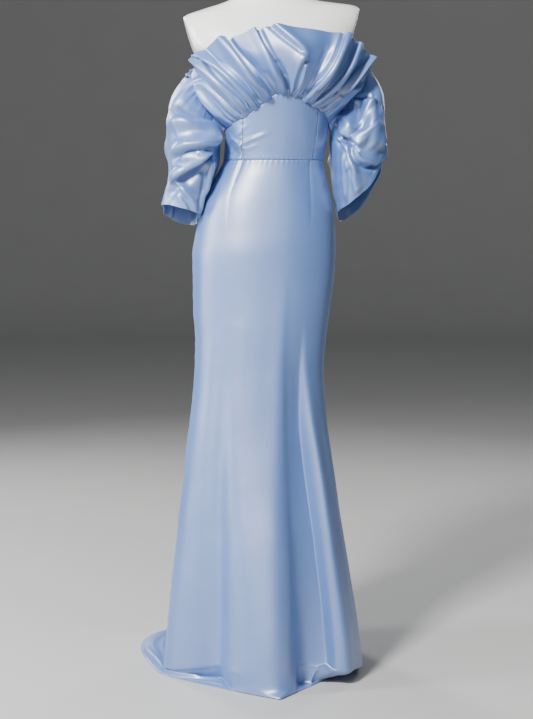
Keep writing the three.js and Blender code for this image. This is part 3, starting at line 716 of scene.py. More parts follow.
# The skirt's panels: cloth on the wall, evened out where it breaks, then folds, seams and slack
def skirtPanel(side, start, stop, columns):
    angles = crowded(start + skirt["sideGap"], stop - skirt["sideGap"], columns, 0.02)
    onFloor = np.linspace(0, skirt["floorSteps"], skirt["rowsOnFloor"], endpoint=False)
    top = cut["waist"] - cut["seamGap"]
    up = crowded(cut["hemStart"], top, skirt["rowsUp"], 0.006)
    low = skirtOnFloor(angles, onFloor)
    high = skirtWall(angles[None], up[:, None])
    grid = np.concatenate([low, high])
    row = np.arange(len(grid))[1:-1, None]
    ridge = np.exp(-((angles[1:-1] - skirt["ridge"]) / skirt["ridgeWidth"]) ** 2)
    firstRow = mix(skirt["softFrom"], 4, ridge)[None]
    share = ease((row - firstRow) / 6) * ease((skirt["rowsOnFloor"] + skirt["softUp"] - row) / 12)
    for _ in range(skirt["softTimes"]):
        middle = grid[1:-1, 1:-1]
        even = (2 * grid[2:, 1:-1] + 2 * grid[:-2, 1:-1] + grid[1:-1, 2:] + grid[1:-1, :-2]) / 6
        grid[1:-1, 1:-1] = middle + 0.5 * share[..., None] * (even - middle)
    height = np.concatenate([onFloor / skirt["floorSteps"] * cut["hemStart"], up])[:, None]
    perDegree = skirt["perDegree"]
    lift = strokeLift(skirtFolds, angles[None], height, perDegree, 1)
    deep = creaseLift(
        skirtCreases, angles[None], height, perDegree, 1, endFade=skirt["creaseFade"])
    lift = lift + deep * ease((height - skirt["creaseFloor"]) / skirt["creaseRise"])
    lift = lift + slackLift(
        angles[None] * perDegree, height * 0.6, skirt["slackSize"], skirt["slack"], 3)
    beside = np.minimum(np.abs(angles - start), np.abs(angles - stop)) * skirt["seamPerDegree"]
    lift = lift + seamLift("skirtSide", beside[None], height)
    lift = lift + seamLift("skirtWaist", top - height, angles[None] * skirt["waistPerDegree"])
    grid = grid + normalsOf(grid) * lift[..., None]
    grid[..., 2] = np.maximum(grid[..., 2], cut["wall"])
    cloth("satin_skirt_" + side, "skirt_" + side, grid)


# The coil of the concealed zip, shut, behind the centre back seam
zipCoil = {
    "low": 948, "high": 1176, "pitch": 1.6, "aside": 0.5,
    "wide": 3.2, "deep": 0.9, "tall": 1.0, "in": 2.3}


def makeZipCoil():
    points = []
    faces = []
    count = int((zipCoil["high"] - zipCoil["low"]) / zipCoil["pitch"])
    for k in range(count):
        z = zipCoil["low"] + k * zipCoil["pitch"]
        wall = bodyPoint(180, z)
        side = zipCoil["aside"] if k % 2 else -zipCoil["aside"]
        centre = wall - [0, zipCoil["in"], 0] + [side, 0, 0]
        half = np.array([zipCoil["wide"], zipCoil["deep"], zipCoil["tall"]]) / 2
        first = len(points)
        for dx, dy, dz in [(-1, -1, -1), (1, -1, -1), (1, 1, -1), (-1, 1, -1),
                           (-1, -1, 1), (1, -1, 1), (1, 1, 1), (-1, 1, 1)]:
            points.append(centre + half * [dx, dy, dz])
        for face in [(0, 3, 2, 1), (4, 5, 6, 7), (0, 1, 5, 4), (1, 2, 6, 5),
                     (2, 3, 7, 6), (3, 0, 4, 7)]:
            faces.append([first + corner for corner in face])
    piece = addMesh("zip_coil", np.array(points), np.array(faces), zipPaint)
    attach(piece, "dress")


skirtPanel("front", -90, 90, 180)
skirtPanel("back_right", 90, 180, 82)
skirtPanel("back_left", -180, -90, 82)
makeZipCoil()
print("skirt made")


# Bodice

bodice = {"rows": 50, "perDegree": 1.95, "waistPerDegree": 1.9, "sideGap": 0.13}

bodiceFolds = table("fromAngle fromUp toAngle toUp out width lean", [
    (-70, 1178, -37, 1142, 2.6, 5, 0.3),
    (-74, 1160, -44, 1130, -2.2, 6, 0.0),
    (-70, 1150, -36, 1190, 2.4, 5, -0.3),
    (-62, 1134, -28, 1164, 2.6, 5, -0.3),
    (-58, 1124, -36, 1140, -2.0, 4, 0.0),
    (-38, 1156, -11, 1174, 2.4, 6, -0.4),
    (-38, 1164, -16, 1180, -1.4, 5, 0.0),
    (-38, 1140, -22, 1150, 1.2, 4, 0.0),
    (-76, 1132, -52, 1124, 1.2, 4, 0.2),
    (22, 1226, 34, 1128, 0.5, 12, 0.0),
    (2, 1200, 8, 1130, 0.4, 12, 0.0),
    (86, 1180, 58, 1150, 1.1, 7, 0.2),
    (84, 1150, 60, 1128, -0.9, 6, 0.0),
    (96, 1170, 130, 1140, 0.9, 8, 0.2),
    (176, 1150, 146, 1132, 0.8, 7, 0.2),
    (-98, 1168, -128, 1142, 0.9, 8, 0.2),
    (-176, 1148, -148, 1130, 0.8, 7, 0.2),
])


def bodicePanel(name, start, stop, columns):
    angles = crowded(start + bodice["sideGap"], stop - bodice["sideGap"], columns, 0.05)
    shares = crowded(0, 1, bodice["rows"], 0.05)[:, None]
    low = cut["waist"] + cut["seamGap"]
    high = arch(angles) - 3 * cut["seamGap"]
    z = mix(low, high[None], shares)
    angle = np.broadcast_to(angles[None], z.shape)
    grid = bodyPoint(angle, z)
    beside = np.minimum(np.abs(angle - start), np.abs(angle - stop)) * bodice["perDegree"]
    lift = strokeLift(bodiceFolds, angle, z, bodice["perDegree"], 1)
    lift = lift + seamLift("bodiceSide", beside, z)
    lift = lift + seamLift("bodiceWaist", z - low, angle * bodice["waistPerDegree"])
    lift = lift + seamLift("bodiceTop", high[None] - z, angle * bodice["waistPerDegree"])
    grid = grid + normalsOf(grid) * lift[..., None]
    cloth("satin_" + name, name, grid)


for name, start, stop, columns, flat, area in [
    ("bodice_front", -cut["princessLeft"], cut["princessRight"], 110, (0.20, 0.14), 0.0204),
    ("bodice_side_front_right", cut["princessRight"], cut["side"], 44, (0.092, 0.109), 0.0071),
    ("bodice_side_back_right", cut["side"], cut["backPrincess"], 44, (0.076, 0.076), 0.0052),
    ("bodice_back_right", cut["backPrincess"], 180, 44, (0.088, 0.071), 0.0058),
    ("bodice_side_front_left", -cut["side"], -cut["princessLeft"], 48, (0.092, 0.090), 0.0062),
    ("bodice_side_back_left", -cut["backPrincess"], -cut["side"], 44, (0.074, 0.068), 0.0047),
    ("bodice_back_left", -180, -cut["backPrincess"], 44, (0.087, 0.068), 0.0057),
]:
    bodicePanel(name, start, stop, columns)
print("bodice made")


# Ruffle

ruffleLook = {
    "rows": 70,
    "perPleat": 21,
    "backPerPleat": 14,
    "crisp": 0.8,
    "gather": 3.0,
    "gatherReach": 0.35,
    "ridgeCurve": 1.7,  # how sharply a pleat rises to its ridge
    "normalStep": 0.02,
    "creaseOut": 1.25,
    "creaseUnder": 1.9,
    "overlap": 1.6,  # how far the root row lies over the bodice's edge, and out from it
    "overlapOut": 0.3,
    "rayPitch": 40,  # millimetres from ray to ray, and from the seam to the edge
    "height": 150,
}

frontFan = table("ray foot x y z bulge", [
    (0, -82, -176, -34, 1290, 12),
    (1, -52, -180, -58, 1332, 20),
    (2, -30, -150, -96, 1353, 27),
    (3, -15, -111, -119, 1371, 32),
    (4, -4, -62, -131, 1382, 34),
    (5, 5, -10, -136, 1393, 34),
    (6, 14, 60, -133, 1390, 33),
    (7, 25, 112, -119, 1386, 31),
    (8, 34, 148, -101, 1380, 28),
    (9, 46, 184, -78, 1357, 24),
    (10, 60, 208, -54, 1336, 19),
    (11, 82, 200, -32, 1320, 12),
])

frontPleats = table("foot middle edge low mid high", [
    (-82, 0, 0, 0, -3, -4),
    (-66, 0.38, 0.22, 3, 7, 5),
    (-50, 0.85, 0.5, -0.5, -7, -5),
    (-38, 1.72, 0.95, 4.5, 8, 6),
    (-30.5, 2.02, 1.13, -0.5, -4, -4),
    (-24, 2.3, 1.32, 4.5, 8, 7),
    (-17.5, 2.62, 1.68, -0.5, -10, -7),
    (-11, 3.2, 2.82, 5, 15, 12),
    (-4.5, 3.48, 3.08, -0.5, -12, -10),
    (1.5, 4.35, 4.25, 4.5, 10, 7),
    (7.5, 4.72, 4.5, -0.5, -9, 0),
    (13, 5.85, 5.05, 4.5, 9, 6),
    (18.5, 6.95, 7.05, -0.5, -12, -6),
    (24.5, 7.42, 8, 5, 14, 12),
    (30.5, 8, 8.35, -0.5, -5, -2),
    (36.5, 8.55, 8.75, 4.5, 9, 6),
    (43, 8.98, 9.3, -0.5, -8, -8),
    (50, 9.38, 9.8, 5, 13, 12),
    (58, 9.85, 10.25, -0.5, -10, -6),
    (68, 10.4, 10.65, 3, 5, 4),
    (82, 11, 11, 0, -2, -2),
])

backFan = table("ray foot x y z bulge", [
    (0, 98, 186, 58, 1306, 20),
    (1, 112, 180, 92, 1322, 22),
    (2, 128, 148, 112, 1334, 23),
    (3, 146, 98, 132, 1341, 26),
    (4, 164, 46, 141, 1344, 27),
    (5, 180, 0, 143, 1345, 27),
])

backPleats = table("foot middle edge low mid high", [
    (98, 0, 0, 0, -3, -4),
    (104.5, 0.4, 0.4, 3, 8, 7),
    (111.5, 0.9, 0.85, -0.5, -7, -6),
    (119, 1.3, 1.3, 4, 10, 9),
    (126.5, 1.85, 1.85, -0.5, -9, -8),
    (134, 2.25, 2.35, 4, 11, 9),
    (142, 2.8, 2.8, -0.5, -8, -8),
    (150, 3.25, 3.2, 4.5, 10, 9),
    (157.5, 3.65, 3.75, -0.5, -9, -7),
    (165, 4.15, 4.25, 4, 9, 8),
    (172.5, 4.6, 4.6, -0.5, -6, -6),
    (180, 5, 5, 0, 0, 0),
])


def ruffleFrom(fan, pleats):
    return {
        "fan": curves(fan, "ray"),
        "rayOf": curve(fan["foot"], fan["ray"]),
        "pleats": pleats,
        "last": len(pleats["foot"]) - 1,
    }


front = ruffleFrom(frontFan, frontPleats)
back = ruffleFrom(backFan, backPleats)


def fanPoint(fan, side, ray, v):
    foot = side * fan["foot"](ray)
    start = bodyPoint(foot, arch(foot) + 1.5 * cut["seamGap"])
    end = np.stack(np.broadcast_arrays(side * fan["x"](ray), fan["y"](ray), fan["z"](ray)), -1)
    turn = np.radians(foot)
    outward = np.stack([np.sin(turn), -np.cos(turn), 0 * turn], -1)
    swell = fan["bulge"](ray) * np.sin(np.pi * np.clip(v, 0, 1) ** 0.8)
    return mix(start, end, v[..., None]) + outward * swell[..., None]


def pleatRay(ruffle, i, v):
    pleats = ruffle["pleats"]
    atFoot = (1 - v) * (1 - 2 * v)
    atEdge = v * (2 * v - 1)
    foot = ruffle["rayOf"](pleats["foot"][i])
    return foot * atFoot + pleats["middle"][i] * 4 * v * (1 - v) + pleats["edge"][i] * atEdge


def pleatHeight(ruffle, i, v):
    low, middle, high = (ruffle["pleats"][name][i] for name in ("low", "mid", "high"))
    return np.where(v < 0.5, mix(low, middle, ease(2 * v)), mix(middle, high, ease(2 * v - 1)))


# u counts the pleats' ridges and valleys. A ridge is crisp and a valley is soft.
def rufflePoint(ruffle, side, u, v, crisp=0):
    u, v = np.broadcast_arrays(np.asarray(u, float), np.asarray(v, float))
    i = np.clip(np.floor(u).astype(int), 0, ruffle["last"] - 1)
    share = u - i
    ray = mix(pleatRay(ruffle, i, v), pleatRay(ruffle, i + 1, v), share)
    low = pleatHeight(ruffle, i, v)
    high = pleatHeight(ruffle, i + 1, v)
    rising = high > low
    bend = ruffleLook["ridgeCurve"]
    sharp = np.where(rising, share ** bend, 1 - (1 - share) ** bend)
    height = mix(low, high, mix(ease(share), sharp, crisp))
    pucker = ruffleLook["gather"] * np.maximum(0, 1 - v / ruffleLook["gatherReach"])
    pucker = pucker * (0.5 - 0.5 * np.cos(4 * np.pi * u)) * mix(1, ease(v / 0.06), crisp)
    step = ruffleLook["normalStep"]
    fan = ruffle["fan"]
    along = fanPoint(fan, side, ray + step, v) - fanPoint(fan, side, ray - step, v)
    up = fanPoint(fan, side, ray, np.minimum(1, v + step))
    up = up - fanPoint(fan, side, ray, np.maximum(0, v - step))
    normal = side * np.cross(along, up)
    normal = normal / np.maximum(np.linalg.norm(normal, axis=-1, keepdims=True), 1e-9)
    return fanPoint(fan, side, ray, v) + normal * (height + pucker)[..., None]


# Small gathers that run up from the seam, uneven in place, length and depth
def gathers(u, v, last, count):
    total = 0
    for k in range(count):
        at = (k + 0.5 + chance.uniform(-0.3, 0.3)) / count * last
        reach = chance.uniform(0.1, 0.42)
        depth = chance.uniform(0.8, 2.4)
        drift = chance.uniform(-0.5, 0.5)
        width = chance.uniform(0.1, 0.17)
        apart = (u - at - drift * v) / (width * (1 + 1.2 * v))
        total = total - depth * np.exp(-apart ** 2) * ease(1 - v / reach)
    return total


# Creases of the ruffle, by the fan's ray and the share of the way up
frontRuffleCreases = table("fromRay fromV viaRay viaV toRay toV out width lean under", [
    (3.70, -0.14, 3.20, 0.52, 2.84, 1.22, 5.0, 8, 0.55, 5.0),
    (6.45, -0.14, 7.40, 0.50, 7.98, 1.22, 5.0, 8, -0.55, 5.0),
    (2.74, -0.14, 2.32, 0.48, 1.34, 1.22, 3.0, 6, 0.50, 3.0),
    (2.10, -0.14, 1.80, 0.48, 0.98, 1.22, 3.0, 6, 0.50, 2.5),
    (1.46, -0.14, 1.00, 0.48, 0.10, 0.88, 3.0, 6, 0.50, 3.5),
    (5.25, -0.14, 4.45, 0.48, 4.25, 1.22, 4.0, 8, 0.50, 4.5),
    (4.72, 1.22, 5.30, 0.86, 6.12, 0.56, 4.5, 8, 0.50, 3.0),
    (6.12, 0.56, 5.66, 0.40, 5.45, -0.14, 4.0, 7, -0.40, 3.0),
    (6.36, -0.14, 6.80, 0.42, 7.02, 0.84, -4.0, 9, 0.00, 0.0),
    (7.70, -0.14, 8.45, 0.45, 8.70, 1.22, 3.5, 7, -0.50, 3.5),
    (9.10, -0.14, 8.75, 0.40, 9.75, 1.22, 3.5, 7, 0.45, 3.0),
    (9.05, 0.20, 10.1, 0.42, 10.6, 0.75, 3.0, 6, -0.40, 2.5),
    (8.45, 0.32, 8.60, 0.30, 8.75, 0.27, 3.0, 5, 0.00, 0.0),
    (3.95, 0.30, 3.75, 0.55, 3.70, 0.85, 1.6, 9, 0.20, 0.0),
    (0.55, 0.10, 0.45, 0.40, 0.25, 0.75, 2.0, 6, 0.30, 1.5),
    (4.95, 0.20, 4.85, 0.34, 4.60, 0.52, -3.0, 6, 0.00, 0.0),
])

backRuffleCreases = table("fromRay fromV viaRay viaV toRay toV out width lean under", [
    (0.95, -0.14, 0.92, 0.50, 0.90, 1.22, 1.6, 8, 0.40, 0.6),
    (1.40, -0.14, 1.32, 0.50, 1.35, 1.22, 3.5, 7, -0.50, 3.0),
    (2.30, -0.14, 2.22, 0.45, 2.36, 1.22, 3.5, 7, 0.50, 3.0),
    (3.20, -0.14, 3.28, 0.50, 3.18, 1.22, 3.5, 7, -0.50, 3.0),
    (4.05, -0.14, 4.18, 0.50, 4.26, 1.22, 3.0, 7, 0.50, 3.0),
    (2.75, 0.20, 2.70, 0.45, 2.85, 0.75, -2.0, 7, 0.00, 0.0),
])


def rufflePiece(name, ruffle, side, perPleat, creases, gatherCount):
    last = ruffle["last"]
    us = np.linspace(0, last, last * perPleat + 1)
    us[0] = 0.04
    us[-1] = last - 0.04
    if side < 0:
        us = us[::-1]
    vs = crowded(0, 1, ruffleLook["rows"], 0.03)
    u, v = np.meshgrid(us, vs)
    grid = rufflePoint(ruffle, side, u, v, ruffleLook["crisp"])
    i = np.clip(np.floor(u).astype(int), 0, last - 1)
    ray = mix(pleatRay(ruffle, i, v), pleatRay(ruffle, i + 1, v), u - i)
    atEnds = ease(u / 0.7) * ease((last - u) / 0.7)
    pitch, height = ruffleLook["rayPitch"], ruffleLook["height"]
    lift = creaseLift(
        creases, ray, v, pitch, height, ruffleLook["creaseOut"], ruffleLook["creaseUnder"])
    lift = lift + gathers(u, v, last, gatherCount)
    lift = lift + slackLift(ray * pitch, v * height, 45, 0.7, gatherCount)
    fromHem = (1 - v) * height
    lift = lift * atEnds * (0.3 + 0.7 * ease(v / 0.05))
    lift = lift + hemLift("ruffle", fromHem)
    facing = normalsOf(grid)
    grid = grid + facing * lift[..., None]
    up = grid[1] - grid[0]
    up = up / np.linalg.norm(up, axis=-1, keepdims=True)
    tucked = grid[0] - up * ruffleLook["overlap"] + facing[0] * ruffleLook["overlapOut"]
    grid = np.concatenate([tucked[None], grid])
    cloth("satin_" + name, name, grid)


rufflePiece(
    "ruffle_front", front, 1, ruffleLook["perPleat"], frontRuffleCreases, 60)
for name, side in [("ruffle_back_right", 1), ("ruffle_back_left", -1)]:
    rufflePiece(
        name, back, side, ruffleLook["backPerPleat"], backRuffleCreases, 30)
print("ruffle made")


# Sleeves

sleeveLook = {
    "columns": 240,
    "rows": 120,
    "turn": 146,
    "cap": 0.24,
    "over": 14,
    "squareness": 0.86,
    "seam": 0.2,
    "clearance": 3,
    "clearTop": 1262,
    "clearOver": 18,
    "girth": 1.2,
    "length": 260,
    "creaseOut": 1.5,
    "creaseUnder": 1.5,
    "gathers": 34,
}

sleeveRows = {
    -1: curves(table("t out y z halfOut halfDeep lift rake sag", [
        (0.24, 172, 2, 1186, 56, 78, 38, 4, 0),
        (0.34, 175, 4, 1156, 57, 88, 31, 6, 0),
        (0.45, 176, 2, 1130, 55, 90, 24, 8, 0),
        (0.6, 179, 2, 1096, 50, 84, 15, 10, 0),
        (0.75, 184, 2, 1062, 46, 74, 10, 12, 1),
        (0.9, 192, 2, 1029, 43, 68, 10, 14, 2),
        (1, 198, 2, 1004, 41, 66, 14, 16, 3),
    ]), "t"),
    1: curves(table("t out y z halfOut halfDeep lift rake sag", [
        (0.24, 180, 2, 1200, 58, 78, 48, 8, 0),
        (0.34, 182, 4, 1172, 58, 88, 45, 13, 0),
        (0.45, 182, 2, 1148, 57, 92, 44, 18, 2),
        (0.6, 183, 2, 1113, 56, 90, 46, 22, 5),
        (0.75, 185, 2, 1086, 54, 84, 50, 24, 9),
        (0.9, 187, 2, 1063, 52, 76, 56, 24, 14),
        (1, 189, 2, 1050, 51, 72, 60, 23, 18),
    ]), "t"),
}

# Main folds of each sleeve, the same as the frame's
sleeveFolds = {
    -1: table("fromAngle fromT toAngle toT out width", [
        (20, 0.05, 150, 0.3, 9, 17),
        (24, 0.14, 110, 0.52, 11, 16),
        (32, 0.27, 105, 0.62, -9, 15),
        (66, 0.44, 128, 0.76, 10, 15),
        (72, 0.6, 126, 0.85, -9, 15),
        (108, 0.84, 80, 1, 8, 18),
        (150, 0.84, 158, 1, 8, 17),
        (46, 0.5, 40, 0.95, 6, 13),
        (330, 0.25, 230, 0.3, -7, 18),
        (325, 0.36, 215, 0.46, 11, 20),
        (320, 0.54, 220, 0.66, -8, 18),
        (290, 0.66, 285, 1, 8, 20),
        (225, 0.7, 215, 1, 8, 20),
    ]),
    1: table("fromAngle fromT toAngle toT out width", [
        (70, 0.07, 130, 0.13, -6, 14),
        (24, 0.05, 76, 0.27, 9, 14),
        (86, 0.17, 82, 0.31, -9, 13),
        (94, 0.38, 112, 0.2, 8, 13),
        (112, 0.32, 132, 0.62, 9, 18),
        (60, 0.36, 118, 0.86, -8, 14),
        (50, 0.36, 78, 0.92, 9, 14),
        (44, 0.3, 38, 0.95, -5, 12),
        (150, 0.72, 155, 1, 8, 18),
        (330, 0.25, 230, 0.3, -7, 18),
        (325, 0.36, 215, 0.46, 11, 20),
        (320, 0.54, 220, 0.66, -8, 18),
        (290, 0.66, 285, 1, 8, 20),
        (225, 0.7, 215, 1, 8, 20),
    ]),
}

# Crisper creases on top of them, round the sleeve and down it
sleeveCreases = {
    -1: table("fromAngle fromT viaAngle viaT toAngle toT out width lean under", [
        (17, 0.02, 92, 0.21, 146, 0.29, 5.0, 10, 0.30, 0.0),
        (12, 0.00, 72, 0.10, 142, 0.17, -5.0, 7, 0.00, 0.0),
        (0, -0.04, 64, 0.31, 150, 0.56, 8.0, 13, -0.50, 9.0),
        (44, 0.20, 78, 0.53, 150, 0.80, 8.0, 12, -0.50, 8.0),
        (68, 0.36, 76, 0.42, 88, 0.46, 2.5, 5, -0.40, 2.0),
        (51, 0.40, 48, 0.62, 43, 0.86, 3.0, 9, 0.30, 2.0),
        (64, 0.60, 56, 0.76, 50, 1.20, -3.0, 8, 0.00, 0.0),
        (130, 0.76, 92, 0.87, 44, 1.08, 5.0, 9, 0.40, 4.0),
        (128, 0.32, 112, 0.38, 96, 0.42, 1.4, 9, 0.00, 0.0),
        (150, 0.36, 140, 0.52, 146, 0.68, 2.2, 10, 0.30, 1.5),
        (165, 0.30, 172, 0.50, 168, 0.74, -2.0, 10, 0.00, 0.0),
        (350, 0.03, 290, 0.22, 235, 0.30, 4.5, 9, -0.40, 3.5),
        (352, 0.08, 300, 0.34, 248, 0.52, 5.0, 9, 0.50, 4.5),
        (320, 0.34, 290, 0.52, 240, 0.74, 5.0, 9, 0.50, 4.5),
        (305, 0.66, 300, 0.82, 310, 1.20, 3.0, 8, 0.30, 2.0),
        (250, 0.76, 244, 0.88, 252, 1.20, 3.0, 8, -0.30, 2.0),
        (212, 0.30, 205, 0.50, 214, 0.70, 2.2, 10, 0.30, 1.5),
    ]),
    1: table("fromAngle fromT viaAngle viaT toAngle toT out width lean under", [
        (18, 0.01, 48, 0.11, 80, 0.29, 5.0, 7, -0.30, 0.0),
        (84, 0.08, 86, 0.22, 82, 0.35, -7.0, 11, 0.00, 0.0),
        (83, 0.33, 92, 0.23, 122, 0.15, 5.0, 7, -0.30, 0.0),
        (70, 0.03, 96, 0.12, 126, 0.20, 3.5, 6, 0.40, 3.0),
        (104, 0.32, 110, 0.46, 106, 0.62, 3.5, 13, 0.00, 0.0),
        (14, 0.00, 64, 0.30, 92, 0.54, 7.0, 11, -0.50, 7.0),
        (74, 0.38, 90, 0.66, 146, 0.92, 7.0, 11, -0.50, 7.0),
        (24, 0.14, 60, 0.44, 76, 0.82, 4.5, 8, -0.40, 3.0),
        (46, 0.40, 43, 0.64, 40, 0.92, 2.6, 8, 0.30, 2.0),
        (60, 0.62, 62, 0.78, 72, 1.20, -2.5, 8, 0.00, 0.0),
        (132, 0.24, 138, 0.44, 134, 0.70, 3.0, 10, 0.40, 2.0),
        (160, 0.30, 168, 0.52, 162, 0.80, -2.2, 10, 0.00, 0.0),
        (350, 0.03, 290, 0.22, 235, 0.30, 4.5, 9, -0.40, 3.5),
        (352, 0.08, 300, 0.34, 248, 0.52, 5.0, 9, 0.50, 4.5),
        (320, 0.34, 290, 0.52, 240, 0.74, 5.0, 9, 0.50, 4.5),
        (305, 0.66, 300, 0.82, 310, 1.20, 3.0, 8, 0.30, 2.0),
        (212, 0.30, 205, 0.50, 214, 0.70, 2.2, 10, 0.30, 1.5),
    ]),
}


# The sleeve's upper edge follows the ends of both ruffles and bridges the gap over the shoulder
def sleeveTop(side, turn):
    last = front["last"] if side > 0 else 0
    atFront = turn < sleeveLook["turn"]
    atBack = turn > 360 - sleeveLook["turn"]
    frontV = np.where(atFront, turn / sleeveLook["turn"], 1)
    backV = np.where(atBack, (360 - turn) / sleeveLook["turn"], 1)
    frontEnd = rufflePoint(front, 1, np.full_like(turn, last), frontV)
    backEnd = rufflePoint(back, side, np.zeros_like(turn), backV)
    share = (turn - sleeveLook["turn"]) / (360 - 2 * sleeveLook["turn"])
    over = mix(frontEnd, backEnd, share[..., None])
    over[..., 0] += side * sleeveLook["over"] * np.sin(np.pi * share)
    top = np.where(atFront[..., None], frontEnd, np.where(atBack[..., None], backEnd, over))
    return top + [side * sleeveLook["seam"], 0, -sleeveLook["seam"]]


def sleeveRing(side, turn, t):
    rings = section(sleeveRows[side], t)
    c = np.cos(np.radians(turn))
    s = np.sin(np.radians(turn))
    lift = plainLift(sleeveFolds[side], turn, t, sleeveLook["girth"], sleeveLook["length"])
    # halfOut and halfDeep are half the sleeve's width, across and from front to back
    x = side * (rings["out"] - (rings["halfOut"] + lift) * power(c, sleeveLook["squareness"]))
    y = rings["y"] - (rings["halfDeep"] + lift) * power(s, sleeveLook["squareness"])
    z = rings["z"] - rings["lift"] * c + rings["rake"] * s + rings["sag"] * (c * c - s * s)
    return np.stack([x, y, z], -1)


# Moves what would lie in the bodice or skirt out to its wall, below the bodice's top
def clearOfBody(points, clearance):
    size = section(body, points[..., 2])
    depth = np.where(points[..., 1] < 0, size["front"], size["back"]) + clearance
    half = size["half"] + clearance
    x = np.abs(points[..., 0] - size["middle"]) / half
    y = np.abs(points[..., 1]) / depth
    exponent = cut["sectionPower"]
    inside = (x ** exponent + y ** exponent) ** (1 / exponent)
    share = ease((sleeveLook["clearTop"] - points[..., 2]) / sleeveLook["clearOver"])
    push = mix(1, np.maximum(1, 1 / np.maximum(inside, 1e-6)), share)
    moved = points.copy()
    moved[..., 0] = size["middle"] + (points[..., 0] - size["middle"]) * push
    moved[..., 1] = points[..., 1] * push
    return moved


def sleevePiece(name, side):
    turns = np.linspace(0, 360, sleeveLook["columns"], endpoint=False)
    if side < 0:
        turns = turns[::-1]
    ts = crowded(1, 0, sleeveLook["rows"], 0.02)
    turn, t = np.meshgrid(turns, ts)
    ring = sleeveRing(side, turn, np.maximum(t, sleeveLook["cap"]))
    down = np.clip(t / sleeveLook["cap"], 0, 1)
    top = sleeveTop(side, turn)
    outwards = side * (ring[..., 0] - top[..., 0]) > 0
    swell = np.where(outwards, down * (2 - down), down * down)
    grid = mix(top, ring, np.stack([swell, down, down], -1))
    girth, length = sleeveLook["girth"], sleeveLook["length"]
    lift = creaseLift(
        sleeveCreases[side], turn, t, girth, length,
        sleeveLook["creaseOut"], sleeveLook["creaseUnder"])
    lift = lift + slackLift(turn * girth, t * length, 60, 0.8, 5 + side)
    small = gathers(turn / 360 * 12, t * 2.2, 12, sleeveLook["gathers"])
    lift = lift * ease(t / 0.08) + small * ease(t / 0.03)
    lift = lift + hemLift("sleeve", (1 - t) * length)
    facing = normalsOf(grid, closed=True)
    facing = sum(np.roll(facing, shift, axis=1) for shift in (-3, 0, 3)) / 3
    grid = grid + facing * lift[..., None]
    grid = clearOfBody(grid, sleeveLook["clearance"] * down)
    cloth("satin_" + name, name, grid, closed=True)


sleevePiece("sleeve_left", -1)
sleevePiece("sleeve_right", 1)
print("sleeves made")


# The dress form

form = {
    "bottom": 792,
    "bust": 1240,
    "shoulder": 1420,
    "neck": 1480,
    "top": 1562,
    "inside": -3.1,
    "tilt": 0.06,
    "tiltFrom": 1300,
    "capZ": 1339,
    "capX": 160,
    "capSlope": 0.3,
    "capRound": 6,
    "columns": 132,
    "rowsBody": 60,
    "rowsBust": 60,
    "rowsShoulder": 46,
    "rowsNeck": 24,
}

bust = curves(table("z middle half front back power", [
    (1240, 5, 112.9, 107.9, 91.9, 2.2),
    (1268, 4, 116, 114, 94, 2.2),
    (1295, 2, 122, 118, 97, 2.2),
    (1320, 0, 132, 114, 99, 2.3),
    (1340, -2, 152, 108, 100, 2.4),
    (1357, -3, 172, 101, 99, 2.4),
    (1380, -4, 187, 92, 96, 2.3),
    (1405, -5, 195, 81, 91, 2.2),
    (1425, -6, 197, 70, 83, 2),
    (1440, -6, 184, 61, 74, 1.8),
    (1450, -7, 146, 55, 66, 1.7),
    (1458, -8, 108, 52, 60, 1.8),
    (1467, -9, 80, 50, 56, 2),
    (1482, -9, 63, 50, 53, 2),
    (1512, -9, 56, 51, 51, 2),
    (1556, -9, 53, 51, 49, 2),
    (1562, -9, 49, 47, 45, 2),
]), "z")


def makeForm():
    low = np.linspace(form["bottom"], form["bust"], form["rowsBody"], endpoint=False)
    high = np.concatenate([
        np.linspace(form["bust"], form["shoulder"], form["rowsBust"], endpoint=False),
        np.linspace(form["shoulder"], form["neck"], form["rowsShoulder"], endpoint=False),
        np.linspace(form["neck"], form["top"], form["rowsNeck"]),
    ])
    angles = np.linspace(-180, 180, form["columns"], endpoint=False)
    lower = bodyPoint(angles[None], low[:, None], form["inside"])
    upper = sectionPoint(angles[None], section(bust, high[:, None]), 0, high[:, None])
    reach = form["capX"] + form["capSlope"] * (high[:, None] - form["capZ"])
    above = high[:, None] > form["tiltFrom"]
    x = upper[..., 0]
    upper[..., 0] = np.where(
        above, np.clip(x, -reach - form["capRound"], reach - form["capRound"]), x)
    grid = np.concatenate([lower, upper])
    z = grid[..., 2]
    share = ease((z - form["tiltFrom"]) / 100) * ease((form["neck"] - z) / 40)
    lean = form["tilt"] * grid[..., 0] * share
    grid[..., 2] = z + lean
    rows, columns = grid.shape[:2]
    faces = gridFaces(rows, columns, True)
    points = np.concatenate([grid.reshape(-1, 3), grid[:1].mean(1), grid[-1:].mean(1)])
    ring = np.arange(columns)
    after = (ring + 1) % columns
    lowest = np.stack([after, ring, np.full(columns, rows * columns)], -1)
    highest = np.stack([
        (rows - 1) * columns + ring, (rows - 1) * columns + after,
        np.full(columns, rows * columns + 1)], -1)
    mesh = bpy.data.meshes.new("form")
    allFaces = faces.tolist() + lowest.tolist() + highest.tolist()
    mesh.from_pydata((points * mm).tolist(), [], allFaces)
    mesh.shade_smooth()
    mesh.materials.append(formPaint)
    piece = bpy.data.objects.new("dress_form", mesh)
    bpy.context.scene.collection.objects.link(piece)
    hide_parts("form_torso")
    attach(piece, "dress")


makeForm()

for node, material in [
    ("stand_pole", standSteel),
    ("stand_foot", standSteel),
    ("zip_slider", zipPaint),
    ("zip_pull", zipPaint),
]:
    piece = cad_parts[node]
    piece.data.materials.clear()
    piece.data.materials.append(material)
print("form and stand made")


# Studio

